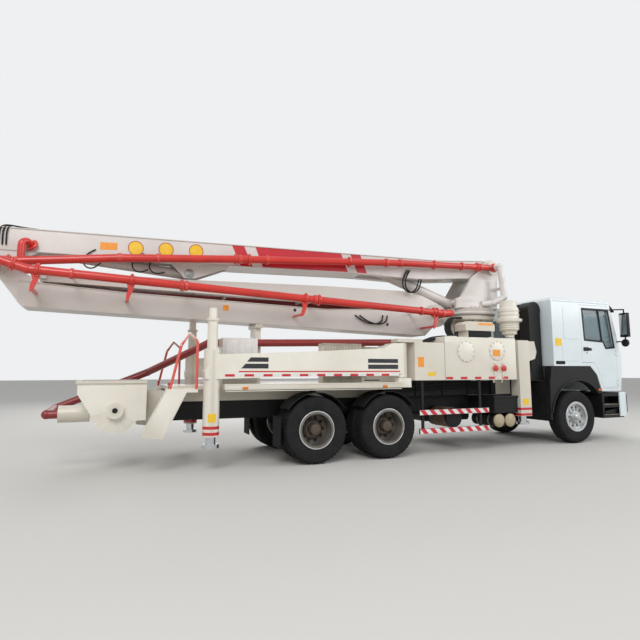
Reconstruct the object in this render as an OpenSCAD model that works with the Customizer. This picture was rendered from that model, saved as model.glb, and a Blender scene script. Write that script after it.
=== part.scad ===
// Truck-mounted concrete pump with a four-section folded boom, in millimetres.
// +X points forward to the cab, +Y to the left and +Z up. The ground is at z = 0.
// The modules use truck coordinates, with x = 0 midway between the two rear axles.

/* [Chassis] */
// Front axle to first rear axle
wheelbase = 4600; // [4300:50:5000]
// Distance between the two rear axles
tandem = 1350; // [1300:10:1450]
// Outside width over the frame rails
rail_spread = 860; // [800:10:900]
// Height of a frame rail's web
rail_h = 300; // [250:10:320]
// Top of the frame rails above the ground
rail_top = 1020; // [980:10:1060]
// Overall width of the body
truck_w = 2500; // [2400:10:2550]
// Top of the deck
deck_z = 1310; // [1280:5:1330]

/* [Wheels] */
// Outer radius of every tyre
tyre_r = 550; // [520:5:560]
// Width of every tyre
tyre_w = 295; // [270:5:310]
// Radius of a rim's flange
rim_r = 305; // [290:5:320]
// Centre distance of the two front tyres
front_track = 2022; // [1980:2:2040]
// Centre distance of the twin tyre pairs
rear_track = 1830; // [1810:2:1850]
// Centre distance of the two tyres in a pair
twin_pitch = 345; // [335:5:360]

/* [Cab] */
// Width of the cab
cab_w = 2440; // [2300:10:2480]
// Top of the cab roof
cab_top = 3060; // [2950:10:3150]
// Rear wall of the cab ahead of the rear axle pair's centre
cab_rear = 4620; // [4600:5:4640]
// Thickness of the cab's walls and doors
cab_wall = 55; // [40:5:70]

/* [Boom] */
// Height of the boom's root pin
boom_root_z = 3770; // [3700:10:3800]
// Length of the first section between its pins
boom_reach = 9310; // [9200:10:9400]
// Width of the first section
boom_w1 = 560; // [520:10:580]
// Width of the second section
boom_w2 = 500; // [480:10:500]
// Outer radius of the delivery pipe
pipe_r = 66; // [60:1:68]
// Slewing axis ahead of the rear axle pair's centre
slew_x = 3440; // [3400:10:3480]

/* [Outriggers] */
// Height of a front outrigger beam
beam_h = 340; // [300:10:360]
// Width of a front outrigger beam
beam_w = 200; // [160:10:210]
// Thickness of a rear outrigger arm
arm_w = 240; // [200:10:250]
// Radius of a jack's rod
jack_r = 75; // [60:1:85]
// Radius of an outrigger foot
foot_r = 160; // [130:5:170]

/* [Hopper] */
// Width of the hopper over its rim
hopper_w = 1500; // [1300:10:1560]
// Height of the hopper's rim
hopper_z = 1370; // [1340:10:1400]
// Thickness of the hopper's plates
hopper_t = 14; // [10:1:20]

/* [Hidden] */
$fn = 48;

// Running clearance between pieces that move, and the small one at pins
gap = 6;
fit = 0.3;

// Truck coordinates of the two ends, which put the origin under the middle of the whole length
boom_root_x = slew_x + 420;
nose_x = 6800;
tail_x = boom_root_x - boom_reach - 150;
mid_x = (nose_x + tail_x) / 2;

half_w = truck_w / 2;
rail_y = rail_spread / 2;
rail_z = rail_top - rail_h;
rail_x = [-3000, 6500];
front_x = wheelbase + tandem / 2;
rear_xs = [tandem / 2, -tandem / 2];
kingpin_y = front_track / 2 - 220;
spindle_r = 45;
hub_r = 60;
deck_t = 90;
boom_root = [boom_root_x, boom_root_z];
boom_tail = [boom_root[0] - boom_reach, boom_root_z - 650];
knee_front = [boom_root[0] - 1410, boom_root_z - 1100];
knee_rear = [boom_root[0] - 8710, boom_root_z - 780];
turret_z = 2700;
pin_r1 = 60;
pin_r2 = 50;
trunnion_r = 95;
pin_r4 = 45;
pipe_y1 = -430;
pipe_y2 = -720;
pipe_y3 = 360;
pipe_y4 = 550;
front_leg_x = [3800, 4030];
arm_pivot = [1000, 1105];
arm_tip_x = -2380;
arm_pin_r = 45;
pedestal_x = 2950;
tank_y = 620;
tank_z = 1340;
hopper_x = [-4260, -3300];
shaft_at = [-3740, 930];
belly_r = 340;
fender_r = 760;
fender_y = 1060;
grate_pin_x = hopper_x[1] - 42;
grate_z = hopper_z - 60;

module on_truck() translate([-mid_x, 0, 0]) children();
module both() { children(); mirror([0, 1, 0]) children(); }
module side(s) if (s > 0) children(); else mirror([0, 1, 0]) children();
module block(x0, x1, y0, y1, z0, z1) translate([x0, y0, z0]) cube([x1 - x0, y1 - y0, z1 - z0]);
// An outline in x and z, made a slab from y0 to y1
module slab(y0, y1) translate([0, y1, 0]) rotate([90, 0, 0]) linear_extrude(y1 - y0) children();
// A cylinder along y
module drum(x, z, r, y0, y1) translate([x, y0, z]) rotate([-90, 0, 0]) cylinder(h = y1 - y0, r = r);
// A straight rod between two points
module rod(p, q, r) {
    v = q - p;
    translate(p) rotate([0, acos(v[2] / norm(v)), atan2(v[1], v[0])]) cylinder(h = norm(v), r = r);
}
// A cast ball with a small flat at both ends of its axis
module elbow_ball(r) intersection() {
    sphere(r = r);
    cylinder(h = 1.94 * r, r = 2 * r, center = true);
}
// A pipe along a list of points, with a ball at each sharp bend and a coupling at each slight one
module tube_run(points, r) {
    for (i = [1:len(points) - 1]) rod(points[i - 1], points[i], r);
    if (len(points) > 2) for (i = [1:len(points) - 2]) {
        u = (points[i] - points[i - 1]) / norm(points[i] - points[i - 1]);
        v = (points[i + 1] - points[i]) / norm(points[i + 1] - points[i]);
        if (u * v > 0.97) rod(points[i] - 35 * (u + v) / 2, points[i] + 35 * (u + v) / 2, r * 1.2);
        else translate(points[i]) rotate([52, 38, 0]) elbow_ball(r * 1.08);
    }
}
// A curved plate about an axle along y, from angle a0 to a1 above +X
module arc_plate(x, z, r0, r1, a0, a1, y0, y1) translate([x, y1, z]) rotate([90, 0, 0]) rotate([0, 0, a0])
    rotate_extrude(angle = a1 - a0, $fn = 96) translate([r0, 0]) square([r1 - r0, y1 - y0]);
// A pipe clamp part way from p to q, with an arm along y from the web that carries it
module clamp(p, q, t, web_y) {
    c = p + t * (q - p);
    u = (q - p) / norm(q - p);
    difference() {
        union() {
            rod(c - 22 * u, c + 22 * u, pipe_r + 14);
            block(c[0] - 18, c[0] + 18, min(web_y, c[1]), max(web_y, c[1]), c[2] - 22, c[2] + 22);
        }
        rod(c - 90 * u, c + 90 * u, pipe_r + fit);
    }
}
// A flat link with round ends, as an outline
module link(p, q, rp, rq) {
    v = (q - p) / norm(q - p);
    n = 0.97 * [-v[1], v[0]];
    polygon([p + rp * n, q + rq * n, q - rq * n, p - rp * n]);
    translate(p) circle(r = rp);
    translate(q) circle(r = rq);
}
function at_y(p, y) = [p[0], y, p[1]];

module frame_rails() color("dimgray") on_truck() {
    // Cross members: place along the truck, bottom and top
    cross = [[-2900, rail_z + 5, rail_z + 45], [-2000, rail_z + 10, rail_z + 70],
        [-1050, 885, 980], [0, 885, 980], [1050, 885, 980], [2150, 885, 980], [3200, 885, 980],
        [4030, 885, 980], [5100, rail_z + 5, rail_z + 50], [6350, rail_z + 40, rail_top - 40]];
    for (s = [-1, 1]) side(s) difference() {
        block(rail_x[0], rail_x[1], rail_y - 75, rail_y, rail_z, rail_top);
        block(rail_x[0] - 1, rail_x[1] + 1, rail_y - 76, rail_y - 8, rail_z + 10, rail_top - 10);
    }
    for (c = cross) block(c[0] - 60, c[0] + 60, 7 - rail_y, rail_y - 7, c[1], c[2]);
    // Pads at the back that the tilting cab rests on
    both() block(4640, 4740, rail_y - 70, rail_y, rail_top, 1603);
    block(4640, 4740, 65 - rail_y, rail_y - 65, 1480, 1560);
    // Brackets of the cab's tilting hinge, with their lugs and pins
    both() {
        block(6380, 6480, rail_y - 75, rail_y + 20, rail_top, 1060);
        slab(rail_y - 55, rail_y - 15) link([6430, 1040], tilt_at, 30, 40);
        drum(tilt_at[0], tilt_at[1], tilt_pin_r, rail_y - 75, rail_y + 5);
    }
}

module deck() color("wheat") on_truck() {
    sub_top = deck_z - deck_t;
    both() block(-3000, pedestal_x - fit, rail_y - 75, rail_y, rail_top, sub_top);
    block(-2200, 940, -half_w, half_w, sub_top, deck_z);
    block(940, pedestal_x - fit, -tank_y + fit, tank_y - fit, sub_top, deck_z);
    block(-3000, -2200, -620, 620, sub_top, deck_z - 30);
    // Bearers that carry the outrigger hinges
    both() block(880, 1140, 560, half_w - 10, sub_top, 1384);
    both() translate([arm_pivot[0], arm_pivot[1], 1380]) cylinder(h = 645 - fit, r = arm_pin_r);
    // Boom rest under the second section
    block(-1450, -1350, -180, 180, deck_z, 2290);
    block(-1470, -1330, -260, 260, 2290, 2353.7);
    // Oil cooler
    block(-380, 390, -760, -560, deck_z, 2000);
    // Valve block under its cover
    block(-2150, -1570, -760, -400, deck_z, 2050);
}

module axles() color("dimgray") on_truck() {
    // Front beam with its dropped centre and the two kingpin eyes
    difference() {
        union() {
            block(front_x - 55, front_x + 55, -600, 600, 400, 520);
            both() block(front_x - 50, front_x + 50, 560, kingpin_y, 460, 580);
            both() translate([front_x, kingpin_y, 460]) cylinder(h = 130, r = 75);
        }
        both() translate([front_x, kingpin_y, 459]) cylinder(h = 132, r = 28 + fit);
    }
    // Rear housings with their stub axles
    for (x = rear_xs) {
        drum(x, tyre_r, 95, -690, 690);
        drum(x, tyre_r, hub_r, -1150, 1150);
        translate([x, 0, tyre_r]) sphere(r = 225);
    }
    // Propeller shafts
    rod([rear_xs[1] + 200, 0, tyre_r + 60], [rear_xs[0] - 200, 0, tyre_r + 60], 50);
    rod([rear_xs[0] + 200, 0, tyre_r + 60], [4100, 0, 800], 60);
    // Leaf packs, each a stepped stack
    for (i = [0:3]) {
        both() block(front_x - 760 + i * 150, front_x + 760 - i * 150, 340, 430, 625 - i * 29, 655 - i * 29);
        both() block(-880 + i * 150, 880 - i * 150, 440, 530, 850 - i * 27, 878 - i * 27);
    }
    both() block(front_x - 70, front_x + 70, 340, 430, 500, 545);
    both() for (x = [front_x - 740, front_x + 740]) block(x - 30, x + 30, 360, 425, 650, rail_z - fit);
    both() for (x = rear_xs) block(x - 60, x + 60, 440, 530, tyre_r + 80, 850);
    both() block(-90, 90, 430, 520, 878, 980);
}

module engine() color("slategray") on_truck() {
    block(4800, 5790, -330, 330, rail_z + 50 + fit, 1460);
    block(4120, 4800, -230, 230, 700, 1010);
}

module side_equipment() color("black") on_truck() {
    // Intake tower with a round top, behind the cab on the right
    slab(-1000, -720) union() {
        polygon([[4230, 1320], [4540, 1320], [4540, 2870], [4230, 2870]]);
        translate([4385, 2800]) circle(r = 170);
    }
    // Filter drum beside the tower
    translate([4400, -520, 1500]) cylinder(h = 1450, r = 150);
    block(4200, 4560, -1000, 0, 1310, 1500);
    block(4200, 4290, -rail_y, 75 - rail_y, rail_top, 1320);
    // Air tanks across the frame, on their hangers
    for (x = [3190, 3470]) {
        drum(x, 550, 125, -1150, -480);
        block(x - 30, x + 30, -500, -rail_y - fit, 600, rail_z + 80);
    }
    // Battery box
    block(3050, 3630, -1180, -rail_y - fit, 700, 1010);
    // Fuel tank on the left
    slab(rail_y + fit, 1160) polygon([[2500, 480], [2560, 420], [3700, 420], [3740, 480], [3740, 950],
        [3700, 1010], [2560, 1010], [2500, 950]]);
    // Silencer on its hanger
    drum(2150, 640, 180, -1100, -480);
    block(2120, 2180, -500, -rail_y - fit, 660, rail_z + 100);
    // Mudguards over the twin wheels, hung from the deck
    for (x = rear_xs) both() {
        arc_plate(x, tyre_r, tyre_r + 50, tyre_r + 60, 35, 145, 760, half_w - 10);
        block(x - 30, x + 30, 900, 1100, 2 * tyre_r + 52, deck_z - deck_t - fit);
    }
}

// Round pre-cleaner on its stand beside the turret, with a wide collar at half height
module precleaner() color("wheat") on_truck() translate([3790, -890, 0]) rotate_extrude() polygon([
    [0, 2130 + fit], [90, 2130 + fit], [90, 2240], [140, 2270], [140, 2330], [185, 2350], [185, 2500],
    [255, 2525], [265, 2570], [200, 2600], [200, 2790], [170, 2830], [170, 2960], [0, 2960]]);

module guards() color("silver") on_truck() {
    both() for (z = [390, 720]) block(1310, 2870, half_w - 60, half_w - 20, z, z + 90);
    both() for (x = [1400, 2700]) block(x - 25, x + 25, half_w - 85, half_w - 55, 390, tank_z - fit);
}

module pedestal() color("wheat") on_truck() {
    box_x = [pedestal_x, 3640];
    housing_x = [3640, 4175];
    beam_z = 1740;
    block(box_x[0], box_x[1], -600, 600, rail_top, 2160);
    difference() {
        block(housing_x[0], housing_x[1], -1000, 1000, beam_z - 50, beam_z + beam_h + 50);
        for (x = front_leg_x) block(x - beam_w / 2 - gap, x + beam_w / 2 + gap, -1010, 1010,
            beam_z - gap, beam_z + beam_h + gap);
    }
    block(housing_x[0], housing_x[1], -rail_y, rail_y, rail_top, beam_z - 50);
    // Column and the lower half of the slewing ring
    translate([slew_x, 0, 2130]) cylinder(h = 470, r = 420);
    translate([slew_x, 0, 2590]) cylinder(h = turret_z - 2590 - gap, r = 540);
    // Water tanks and lockers along both sides
    both() block(1880, 3590, tank_y, half_w - 10, tank_z, 2150);
    both() block(1225, 1880, tank_y, half_w - 10, tank_z, 2030);
    both() for (x = [2250, 3150]) translate([x, 930, 2150]) cylinder(h = 30, r = 130);
    // Hood of the hydraulic block on the right-hand tank
    block(2600, 3180, -1040, -740, 2149, 2300);
    slab(-1060, -720) polygon([[2530, 2300], [3250, 2300], [3250, 2420], [3180, 2480], [2600, 2480],
        [2530, 2420]]);
    // Brackets that carry the tanks from the column's box
    both() block(pedestal_x, 3590, 590, tank_y + 5, deck_z, 2100);
    // Upper lugs of the rear arms
    both() block(880, 1400, 1000, half_w - 10, 2025, 2085);
}

module front_bumper() color("black") on_truck() {
    slab(-1180, 1180) polygon([[6100, 560], [6760, 560], [nose_x, 620], [nose_x, 980], [6740, 1035],
        [6520, 1035], [6520, 700], [6100, 640]]);
    both() block(rail_x[1] + fit, 6530, rail_y - 75, rail_y, rail_z + 20, rail_top - 20);
    // Step boxes below the doors
    both() difference() {
        block(5960, 6600, 860, cab_w / 2 + 10, 500, 1035);
        block(6010, 6550, 980, cab_w / 2 + 30, 560, 720);
        block(6010, 6550, 980, cab_w / 2 + 30, 780, 960);
    }
    // Wheel arches below the cab's edge, and the splash panels behind the front wheels
    both() slab(fender_y, cab_w / 2 - 5) difference() {
        polygon([[4470, 520], [4500, 1300], [4560, 1606], [5672, 1606], [5860, 1414], [5978, 1068],
            [5978, 1030], [4770, 1030], [4560, 520]]);
        translate([front_x, tyre_r]) circle(r = fender_r, $fn = 128);
    }
    both() block(4470, 4500, rail_y + fit, fender_y + 5, 520, 1300);
}

// Side outline of the hopper, drawn in by t: straight plates into a round belly about the shaft
module hopper_outline(t, top) {
    polygon([[hopper_x[0] + t, top], [hopper_x[0] + t, 1180], [shaft_at[0] - 0.8 * (belly_r - t), 770 + t],
        [hopper_x[1] - t, 770 + t], [hopper_x[1] - t, top]]);
    translate(shaft_at) circle(r = belly_r - t, $fn = 96);
}

module hopper() color("wheat") on_truck() {
    x0 = hopper_x[0];
    x1 = hopper_x[1];
    w = hopper_w / 2;
    difference() {
        slab(-w, w) hopper_outline(0, hopper_z);
        slab(hopper_t - w, w - hopper_t) hopper_outline(hopper_t, hopper_z + 1);
        drum(shaft_at[0], shaft_at[1], 46, -w - 1, w + 1);
    }
    // Round bearing housings on the side walls
    both() difference() {
        drum(shaft_at[0], shaft_at[1], 120, w, w + 90);
        drum(shaft_at[0], shaft_at[1], 40 + fit, w - 1, w + 91);
    }
    // Rolled rim round the top
    difference() {
        block(x0 - 25, x1, -w - 25, w + 25, hopper_z - 40, hopper_z);
        block(x0 + 2, x1 + 1, 2 - w, w - 2, hopper_z - 41, hopper_z + 1);
    }
    // Outlet neck and the frame that hangs the hopper from the rails
    translate([-4100, -200, 860]) rotate([0, -90, 0]) cylinder(h = 440, r = 130);
    both() block(x1 - 2, rail_x[0] - fit, rail_y - 75, rail_y, rail_z, 1200);
    // Ledge under the grate's edge, and the stub pins it hinges on
    block(x0 + hopper_t - 1, x0 + hopper_t + 30, 1 - w, w - 1, grate_z - 30, grate_z - fit);
    both() drum(grate_pin_x, grate_z + 20, 8, w - hopper_t - 40, w - 2);
}

module pump_unit() color("gray") on_truck() {
    block(hopper_x[1] + fit, -3230, -330, 330, 745, 1010);
    for (y = [-170, 170]) rod([-3240, y, 860], [-1400, y, 1085], 120);
    block(-1420, -980, 75 - rail_y + fit, rail_y - 75 - fit, 1030, 1215);
}

module deck_pipe() color("firebrick") on_truck() {
    tube_run([[-4540 - fit, -200, 860], [-4700, -200, 860], [-4700, 990, 880], [-3200, 990, 1500],
        [-2300, -300, 1990], [1690, -300, 2085], [pedestal_x - fit, -300, 2085]], pipe_r);
}

module rear_steps() color("black") on_truck() {
    both() {
        slab(1120, 1150) polygon([[-3030, 1250], [-2740, 1220], [-3080, 520], [-3380, 560]]);
        slab(880, 910) polygon([[-3030, 1250], [-2740, 1220], [-3080, 520], [-3380, 560]]);
        for (i = [0:2]) block(-3340 + i * 130, -3080 + i * 130, 905, 1125, 600 + i * 230, 625 + i * 230);
        block(-3000, -2590, 620 + fit, 1150, 1190, 1240);
    }
    both() tube_run([[-3000, 1130, 1230], [-2850, 1130, 1900], [-2730, 1130, 2080], [-2610, 1130, 1970],
        [-2610, 1130, 1230]], 20);
}

// Steering knuckle for the left side, with its yoke, kingpin and spindle
module knuckle(s) color("dimgray") on_truck() side(s) {
    wheel_y = front_track / 2;
    for (z = [384, 596]) translate([front_x, kingpin_y, z]) cylinder(h = 70, r = 72);
    translate([front_x, kingpin_y, 384]) cylinder(h = 282, r = 28);
    block(front_x - 60, front_x + 60, kingpin_y + 90, kingpin_y + 130, 384, 666);
    for (z = [384, 596]) block(front_x - 55, front_x + 55, kingpin_y, kingpin_y + 130, z, z + 70);
    drum(front_x, tyre_r, spindle_r, kingpin_y + 90, wheel_y + 100);
    block(front_x - 260, front_x - 40, kingpin_y - 20, kingpin_y + 20, 400, 440);
}

// A tyre about the y axis, centred on the origin
module tyre() rotate([90, 0, 0]) rotate_extrude($fn = 96) difference() {
    translate([rim_r - 21 + fit, -tyre_w / 2]) square([tyre_r - rim_r + 21 - fit, tyre_w]);
    translate([rim_r - 21, -tyre_w / 2 - 1]) square([60, 30]);
    translate([rim_r - 21, tyre_w / 2 - 29]) square([60, 30]);
    translate([tyre_r - 25, -tyre_w / 2 - 1]) square([26, 21]);
    translate([tyre_r - 25, tyre_w / 2 - 20]) square([26, 21]);
}

// A steel wheel about the y axis with its dish pushed out by `out` and hand holes through the disc
module steel_wheel(out, bore) rotate([90, 0, 0]) difference() {
    rotate_extrude($fn = 96) union() {
        translate([rim_r - 45, -tyre_w / 2 + 10]) square([24, tyre_w - 20]);
        translate([rim_r - 45, -tyre_w / 2 + 10]) square([45, 16]);
        translate([rim_r - 45, tyre_w / 2 - 26]) square([45, 16]);
        translate([bore + fit, out - 12]) square([rim_r - 30 - bore, 24]);
        translate([bore + fit, out - 60]) square([70, 120]);
    }
    for (i = [0:9]) rotate([0, 0, i * 36]) translate([195, 0, out - 20]) cylinder(h = 40, r = 28);
}

module tyre_front(s) color("black") on_truck() side(s) translate([front_x, front_track / 2, tyre_r]) tyre();
module wheel_front(s) color("silver") on_truck() side(s)
    translate([front_x, front_track / 2, tyre_r]) steel_wheel(-60, spindle_r);
module tyres_twin(x, s) color("black") on_truck() side(s)
    for (k = [-1, 1]) translate([x, rear_track / 2 + k * twin_pitch / 2, tyre_r]) tyre();
module wheels_twin(x, s) color("silver") on_truck() side(s) {
    for (k = [-1, 1]) translate([x, rear_track / 2 + k * twin_pitch / 2, tyre_r])
        steel_wheel(k * 110, hub_r);
    difference() {
        drum(x, tyre_r, 130, rear_track / 2 - 130, rear_track / 2 + 130);
        drum(x, tyre_r, hub_r + fit, rear_track / 2 - 131, rear_track / 2 + 131);
    }
}

// Side outline of the cab, its inside and the door
cab_nose = [[6360, cab_top - 20], [6660, 1840], [6650, 1500], [6580, 1075]];
cab_outline = concat([[cab_rear, 1612], [cab_rear, cab_top - 60], [cab_rear + 60, cab_top]],
    cab_nose, [[5990, 1075], [5870, 1420], [5680, 1612]]);
roof_slope = 75;
tilt_at = [6560, 1100];
tilt_pin_r = 15;
door_pin = [6503, 8, 16];
door_hinge_z = [1250, 1900];
cab_inside = [[cab_rear + cab_wall, 1672], [cab_rear + cab_wall, cab_top - cab_wall],
    [6290, cab_top - cab_wall], [6590, 1840], [6590, 1460], [5930, 1460], [5740, 1672]];
door_outline = [[5450, 1690], [5450, 2930], [6310, 2930], [6500, 2090], [6500, 1140],
    [6060, 1140], [5950, 1480], [5800, 1690]];
door_window = [[5530, 2840], [5560, 2180], [6120, 2150], [6190, 2010], [6440, 2030], [6310, 2840]];

// A round bar of radius r on the door's hinge axis, from z0 to z1
module on_door_pin(r, z0, z1) translate([door_pin[0], cab_w / 2, z0]) cylinder(h = z1 - z0, r = r);
// Lugs of a door's hinges with their pins
module door_lugs() for (z = door_hinge_z) {
    for (k = [-62, 32]) {
        on_door_pin(door_pin[2], z + k, z + k + 30);
        block(door_pin[0], door_pin[0] + 60, cab_w / 2 - 8, cab_w / 2 + 8, z + k, z + k + 30);
    }
    on_door_pin(door_pin[1], z - 60, z + 60);
}
// Room about the hinges, cut from the shell and the door
module door_relief() for (z = door_hinge_z) on_door_pin(door_pin[2] + gap, z - 67, z + 67);

module cab_shell() color("aliceblue") on_truck() {
    both() door_lugs();
    cab_walls();
}

module cab_walls() difference() {
    slab(-cab_w / 2, cab_w / 2) polygon(cab_outline);
    slab(cab_wall - cab_w / 2, cab_w / 2 - cab_wall) polygon(cab_inside);
    both() slab(cab_w / 2 - cab_wall - 1, cab_w / 2 + 1) offset(delta = gap) polygon(door_outline);
    // Sloping edges along the roof
    both() translate([cab_rear - 1, cab_w / 2, cab_top]) rotate([45, 0, 0])
        translate([0, -roof_slope / 2, -roof_slope / 2]) cube([2200, roof_slope, roof_slope]);
    // Windscreen, and the small window in the rear wall
    slab(-1080, 1080) polygon([[6230, 2930], [6420, 2930], [6660, 1960], [6400, 1960]]);
    block(cab_rear - 1, cab_rear + cab_wall + 1, -500, 500, 2200, 2700);
    // Notches and bores of the tilting hinge, and room about the doors' hinges
    both() {
        block(6370, 6660, rail_y - 65, rail_y - 5, 1060, 1150);
        drum(tilt_at[0], tilt_at[1], tilt_pin_r + fit, rail_y - 80, rail_y + 10);
        door_relief();
    }
}

module cab_glass() color("lightblue") on_truck() {
    slab(fit - 1080, 1080 - fit) polygon([[6372, 2930 - fit], [6380, 2930 - fit],
        [6619, 1960 + fit], [6611, 1960 + fit]]);
    block(cab_rear + 20, cab_rear + 28, fit - 500, 500 - fit, 2200 + fit, 2700 - fit);
}

module cab_fittings() color("black") on_truck() {
    // Seats on their plinths
    both() {
        block(5150, 5650, 450, 950, 1672 + fit, 2050);
        block(5080, 5200, 450, 950, 2050, 2700);
    }
    // Dashboard, with the steering wheel on the left
    slab(-1100, 1100) polygon([[6250, 1460 + fit], [6540, 1460 + fit], [6540, 2000], [6300, 2050], [6200, 1950]]);
    translate([6060, 700, 2120]) rotate([0, -25, 0]) difference() {
        cylinder(h = 30, r = 220);
        translate([0, 0, -1]) cylinder(h = 32, r = 195);
    }
    rod([6060, 700, 2130], [6260, 700, 1960], 25);
    translate([6060, 700, 2120]) rotate([0, -25, 0]) block(-25, 25, -200, 200, 5, 25);
    // Mirrors on their arms
    both() {
        tube_run([[6360, cab_w / 2 + 12.6, 2860], [6620, 1380, 2860], [6620, 1380, 2150],
            [6530, cab_w / 2 + 8, 2150]], 14);
        block(6580, 6650, 1290, 1480, 2250, 2780);
    }
}

module door(s) color("aliceblue") on_truck() side(s) {
    difference() {
        slab(cab_w / 2 - cab_wall, cab_w / 2) polygon(door_outline);
        slab(cab_w / 2 - cab_wall - 1, cab_w / 2 + 1) polygon(door_window);
        slab(cab_w / 2 - 12, cab_w / 2 + 1) polygon([[5560, 1940], [5760, 1940], [5760, 2000],
            [5560, 2000]]);
        door_relief();
    }
    // Hinge barrels
    difference() {
        for (z = door_hinge_z) {
            on_door_pin(door_pin[2], z - 30, z + 30);
            block(door_pin[0] - 60, door_pin[0], cab_w / 2 - 8, cab_w / 2 + 8, z - 30, z + 30);
        }
        for (z = door_hinge_z) on_door_pin(door_pin[1] + fit, z - 31, z + 31);
    }
}

module door_glass(s) color("lightblue") on_truck() side(s)
    slab(cab_w / 2 - 34, cab_w / 2 - 28) offset(delta = -fit) polygon(door_window);

module turret() color("ivory") on_truck() {
    difference() {
        union() {
            translate([slew_x, 0, turret_z]) cylinder(h = 150, r = 565);
            both() slab(boom_w1 / 2 + gap, boom_w1 / 2 + gap + 55) union() {
                polygon([[2880, turret_z + 140], [2880, 3040], [3040, 3120], [3330, 3560],
                    [boom_root[0] - 190, boom_root[1]], [boom_root[0] + 190, boom_root[1]],
                    [4000, turret_z + 140]]);
                translate(boom_root) circle(r = 200);
            }
            // Cross web ahead of the cylinder
            block(3700, 3760, -boom_w1 / 2 - gap - 5, boom_w1 / 2 + gap + 5, turret_z + 140, 3330);
        }
        translate([slew_x, 0, turret_z - 1]) cylinder(h = 152, r = 90);
    }
    drum(boom_root[0], boom_root[1], pin_r1, -boom_w1 / 2 - 72, boom_w1 / 2 + 72);
    // Bracket of the turret's pipe
    block(3890, 3930, -554, -boom_w1 / 2 - gap - 50, 3260, 3320);
    drum(cyl_1_base[0], cyl_1_base[1], 55, -boom_w1 / 2 - 80, boom_w1 / 2 + 80);
}

module turret_pipe() color("firebrick") on_truck()
    tube_run([[boom_root[0], -508, boom_root[1]], [boom_root[0], -620, boom_root[1]],
        [3950, -620, 3100], [slew_x + 250, -560, 2960], [slew_x + 60, -430, 2950]], pipe_r);

// The delivery pipe's run along each boom section, from swivel to swivel
run_1 = [[boom_root[0], -500, boom_root[1]], [boom_root[0], pipe_y1, boom_root[1]],
    [3500, pipe_y1, 3760], [1470, pipe_y1, 3680], [-1810, pipe_y1, 3470], [-3770, pipe_y1, 3320],
    [boom_tail[0], pipe_y1, boom_tail[1]], [boom_tail[0], -505, boom_tail[1]]];
run_2 = [[boom_tail[0], -512, boom_tail[1]], [boom_tail[0], pipe_y2, boom_tail[1]],
    [-5000, pipe_y2, 2985], [2250, pipe_y2, 2660], [knee_front[0], pipe_y2, knee_front[1]],
    [knee_front[0], -580, knee_front[1]]];
run_3 = [[knee_front[0], -574, knee_front[1]], [knee_front[0], pipe_y3, knee_front[1]],
    [2150, pipe_y3, 2830], [-4500, pipe_y3, 2865], [knee_rear[0], pipe_y3, knee_rear[1]],
    [knee_rear[0], pipe_y3 + 90, knee_rear[1]]];
run_4 = [[knee_rear[0], pipe_y3 + 96, knee_rear[1]], [knee_rear[0], pipe_y4, knee_rear[1]],
    [-4500, pipe_y4, 3010], [1650, pipe_y4, 3000]];

// Cylinder pins in x and z: the barrel's pin, then the rod's eye
cyl_1_base = boom_root - [900, 800];
cyl_1_eye = boom_root - [2910, 130];
cyl_2_base = [boom_tail[0] + 2810, boom_tail[1] + 80];
cyl_2_eye = boom_tail + [120, 320];
cyl_3_base = knee_front - [1900, 190];
cyl_3_eye = knee_front - [200, 160];

module boom_1() color("ivory") on_truck() {
    for (c = [[2, 0.25], [3, 0.1], [3, 0.85], [4, 0.7], [5, 0.93]])
        clamp(run_1[c[0]], run_1[c[0] + 1], c[1], 1 - boom_w1 / 2);
    drum(cyl_2_base[0], cyl_2_base[1], 35, -171, 171);
    difference() {
    union() {
        slab(-boom_w1 / 2, boom_w1 / 2) union() {
            polygon([[boom_tail[0] - 60, 3335], [boom_tail[0] - 60, 3690], [2450, 3850],
                [boom_root[0], boom_root[1] + 185], [boom_root[0], boom_root[1] - 185],
                [3380, 3530], [1940, 3410], [690, 3430], [-1810, 3370]]);
            translate(boom_root) circle(r = 190);
        }
        // Ears down to the tail pin
        both() slab(boom_w1 / 2 - 50, boom_w1 / 2) union() {
            polygon([[boom_tail[0] - 140, boom_tail[1]], [boom_tail[0] - 60, 3340],
                [boom_tail[0] + 520, 3340], [boom_tail[0] + 140, boom_tail[1]]]);
            translate(boom_tail) circle(r = 150);
        }
        // Lugs of the second cylinder
        both() slab(130, 170) polygon([[-2950, 3360], [cyl_2_base[0] - 90, 3120],
            [cyl_2_base[0] + 90, 3120], [-1900, 3380]]);
    }
    drum(boom_root[0], boom_root[1], pin_r1 + fit, -boom_w1, boom_w1);
    drum(boom_tail[0], boom_tail[1], pin_r2 + fit, -boom_w1, boom_w1);
    // Belly pocket that takes the first cylinder
    slab(-155, 155) polygon([[700, 3300], [700, 3740], [1400, 3740], [2750, 3500], [2750, 3300]]);
    // Tail pocket that takes the second cylinder's rod and the lever
    slab(-235, 235) polygon([[boom_tail[0] - 100, 3300], [boom_tail[0] - 100, 3640],
        [boom_tail[0] + 500, 3640], [boom_tail[0] + 2100, 3330], [boom_tail[0] + 2100, 3200]]);
    slab(-100, 100) polygon([[boom_tail[0] + 1800, 3200], [boom_tail[0] + 1800, 3420],
        [boom_tail[0] + 3000, 3400], [boom_tail[0] + 3000, 3200]]);
    }
}

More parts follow.
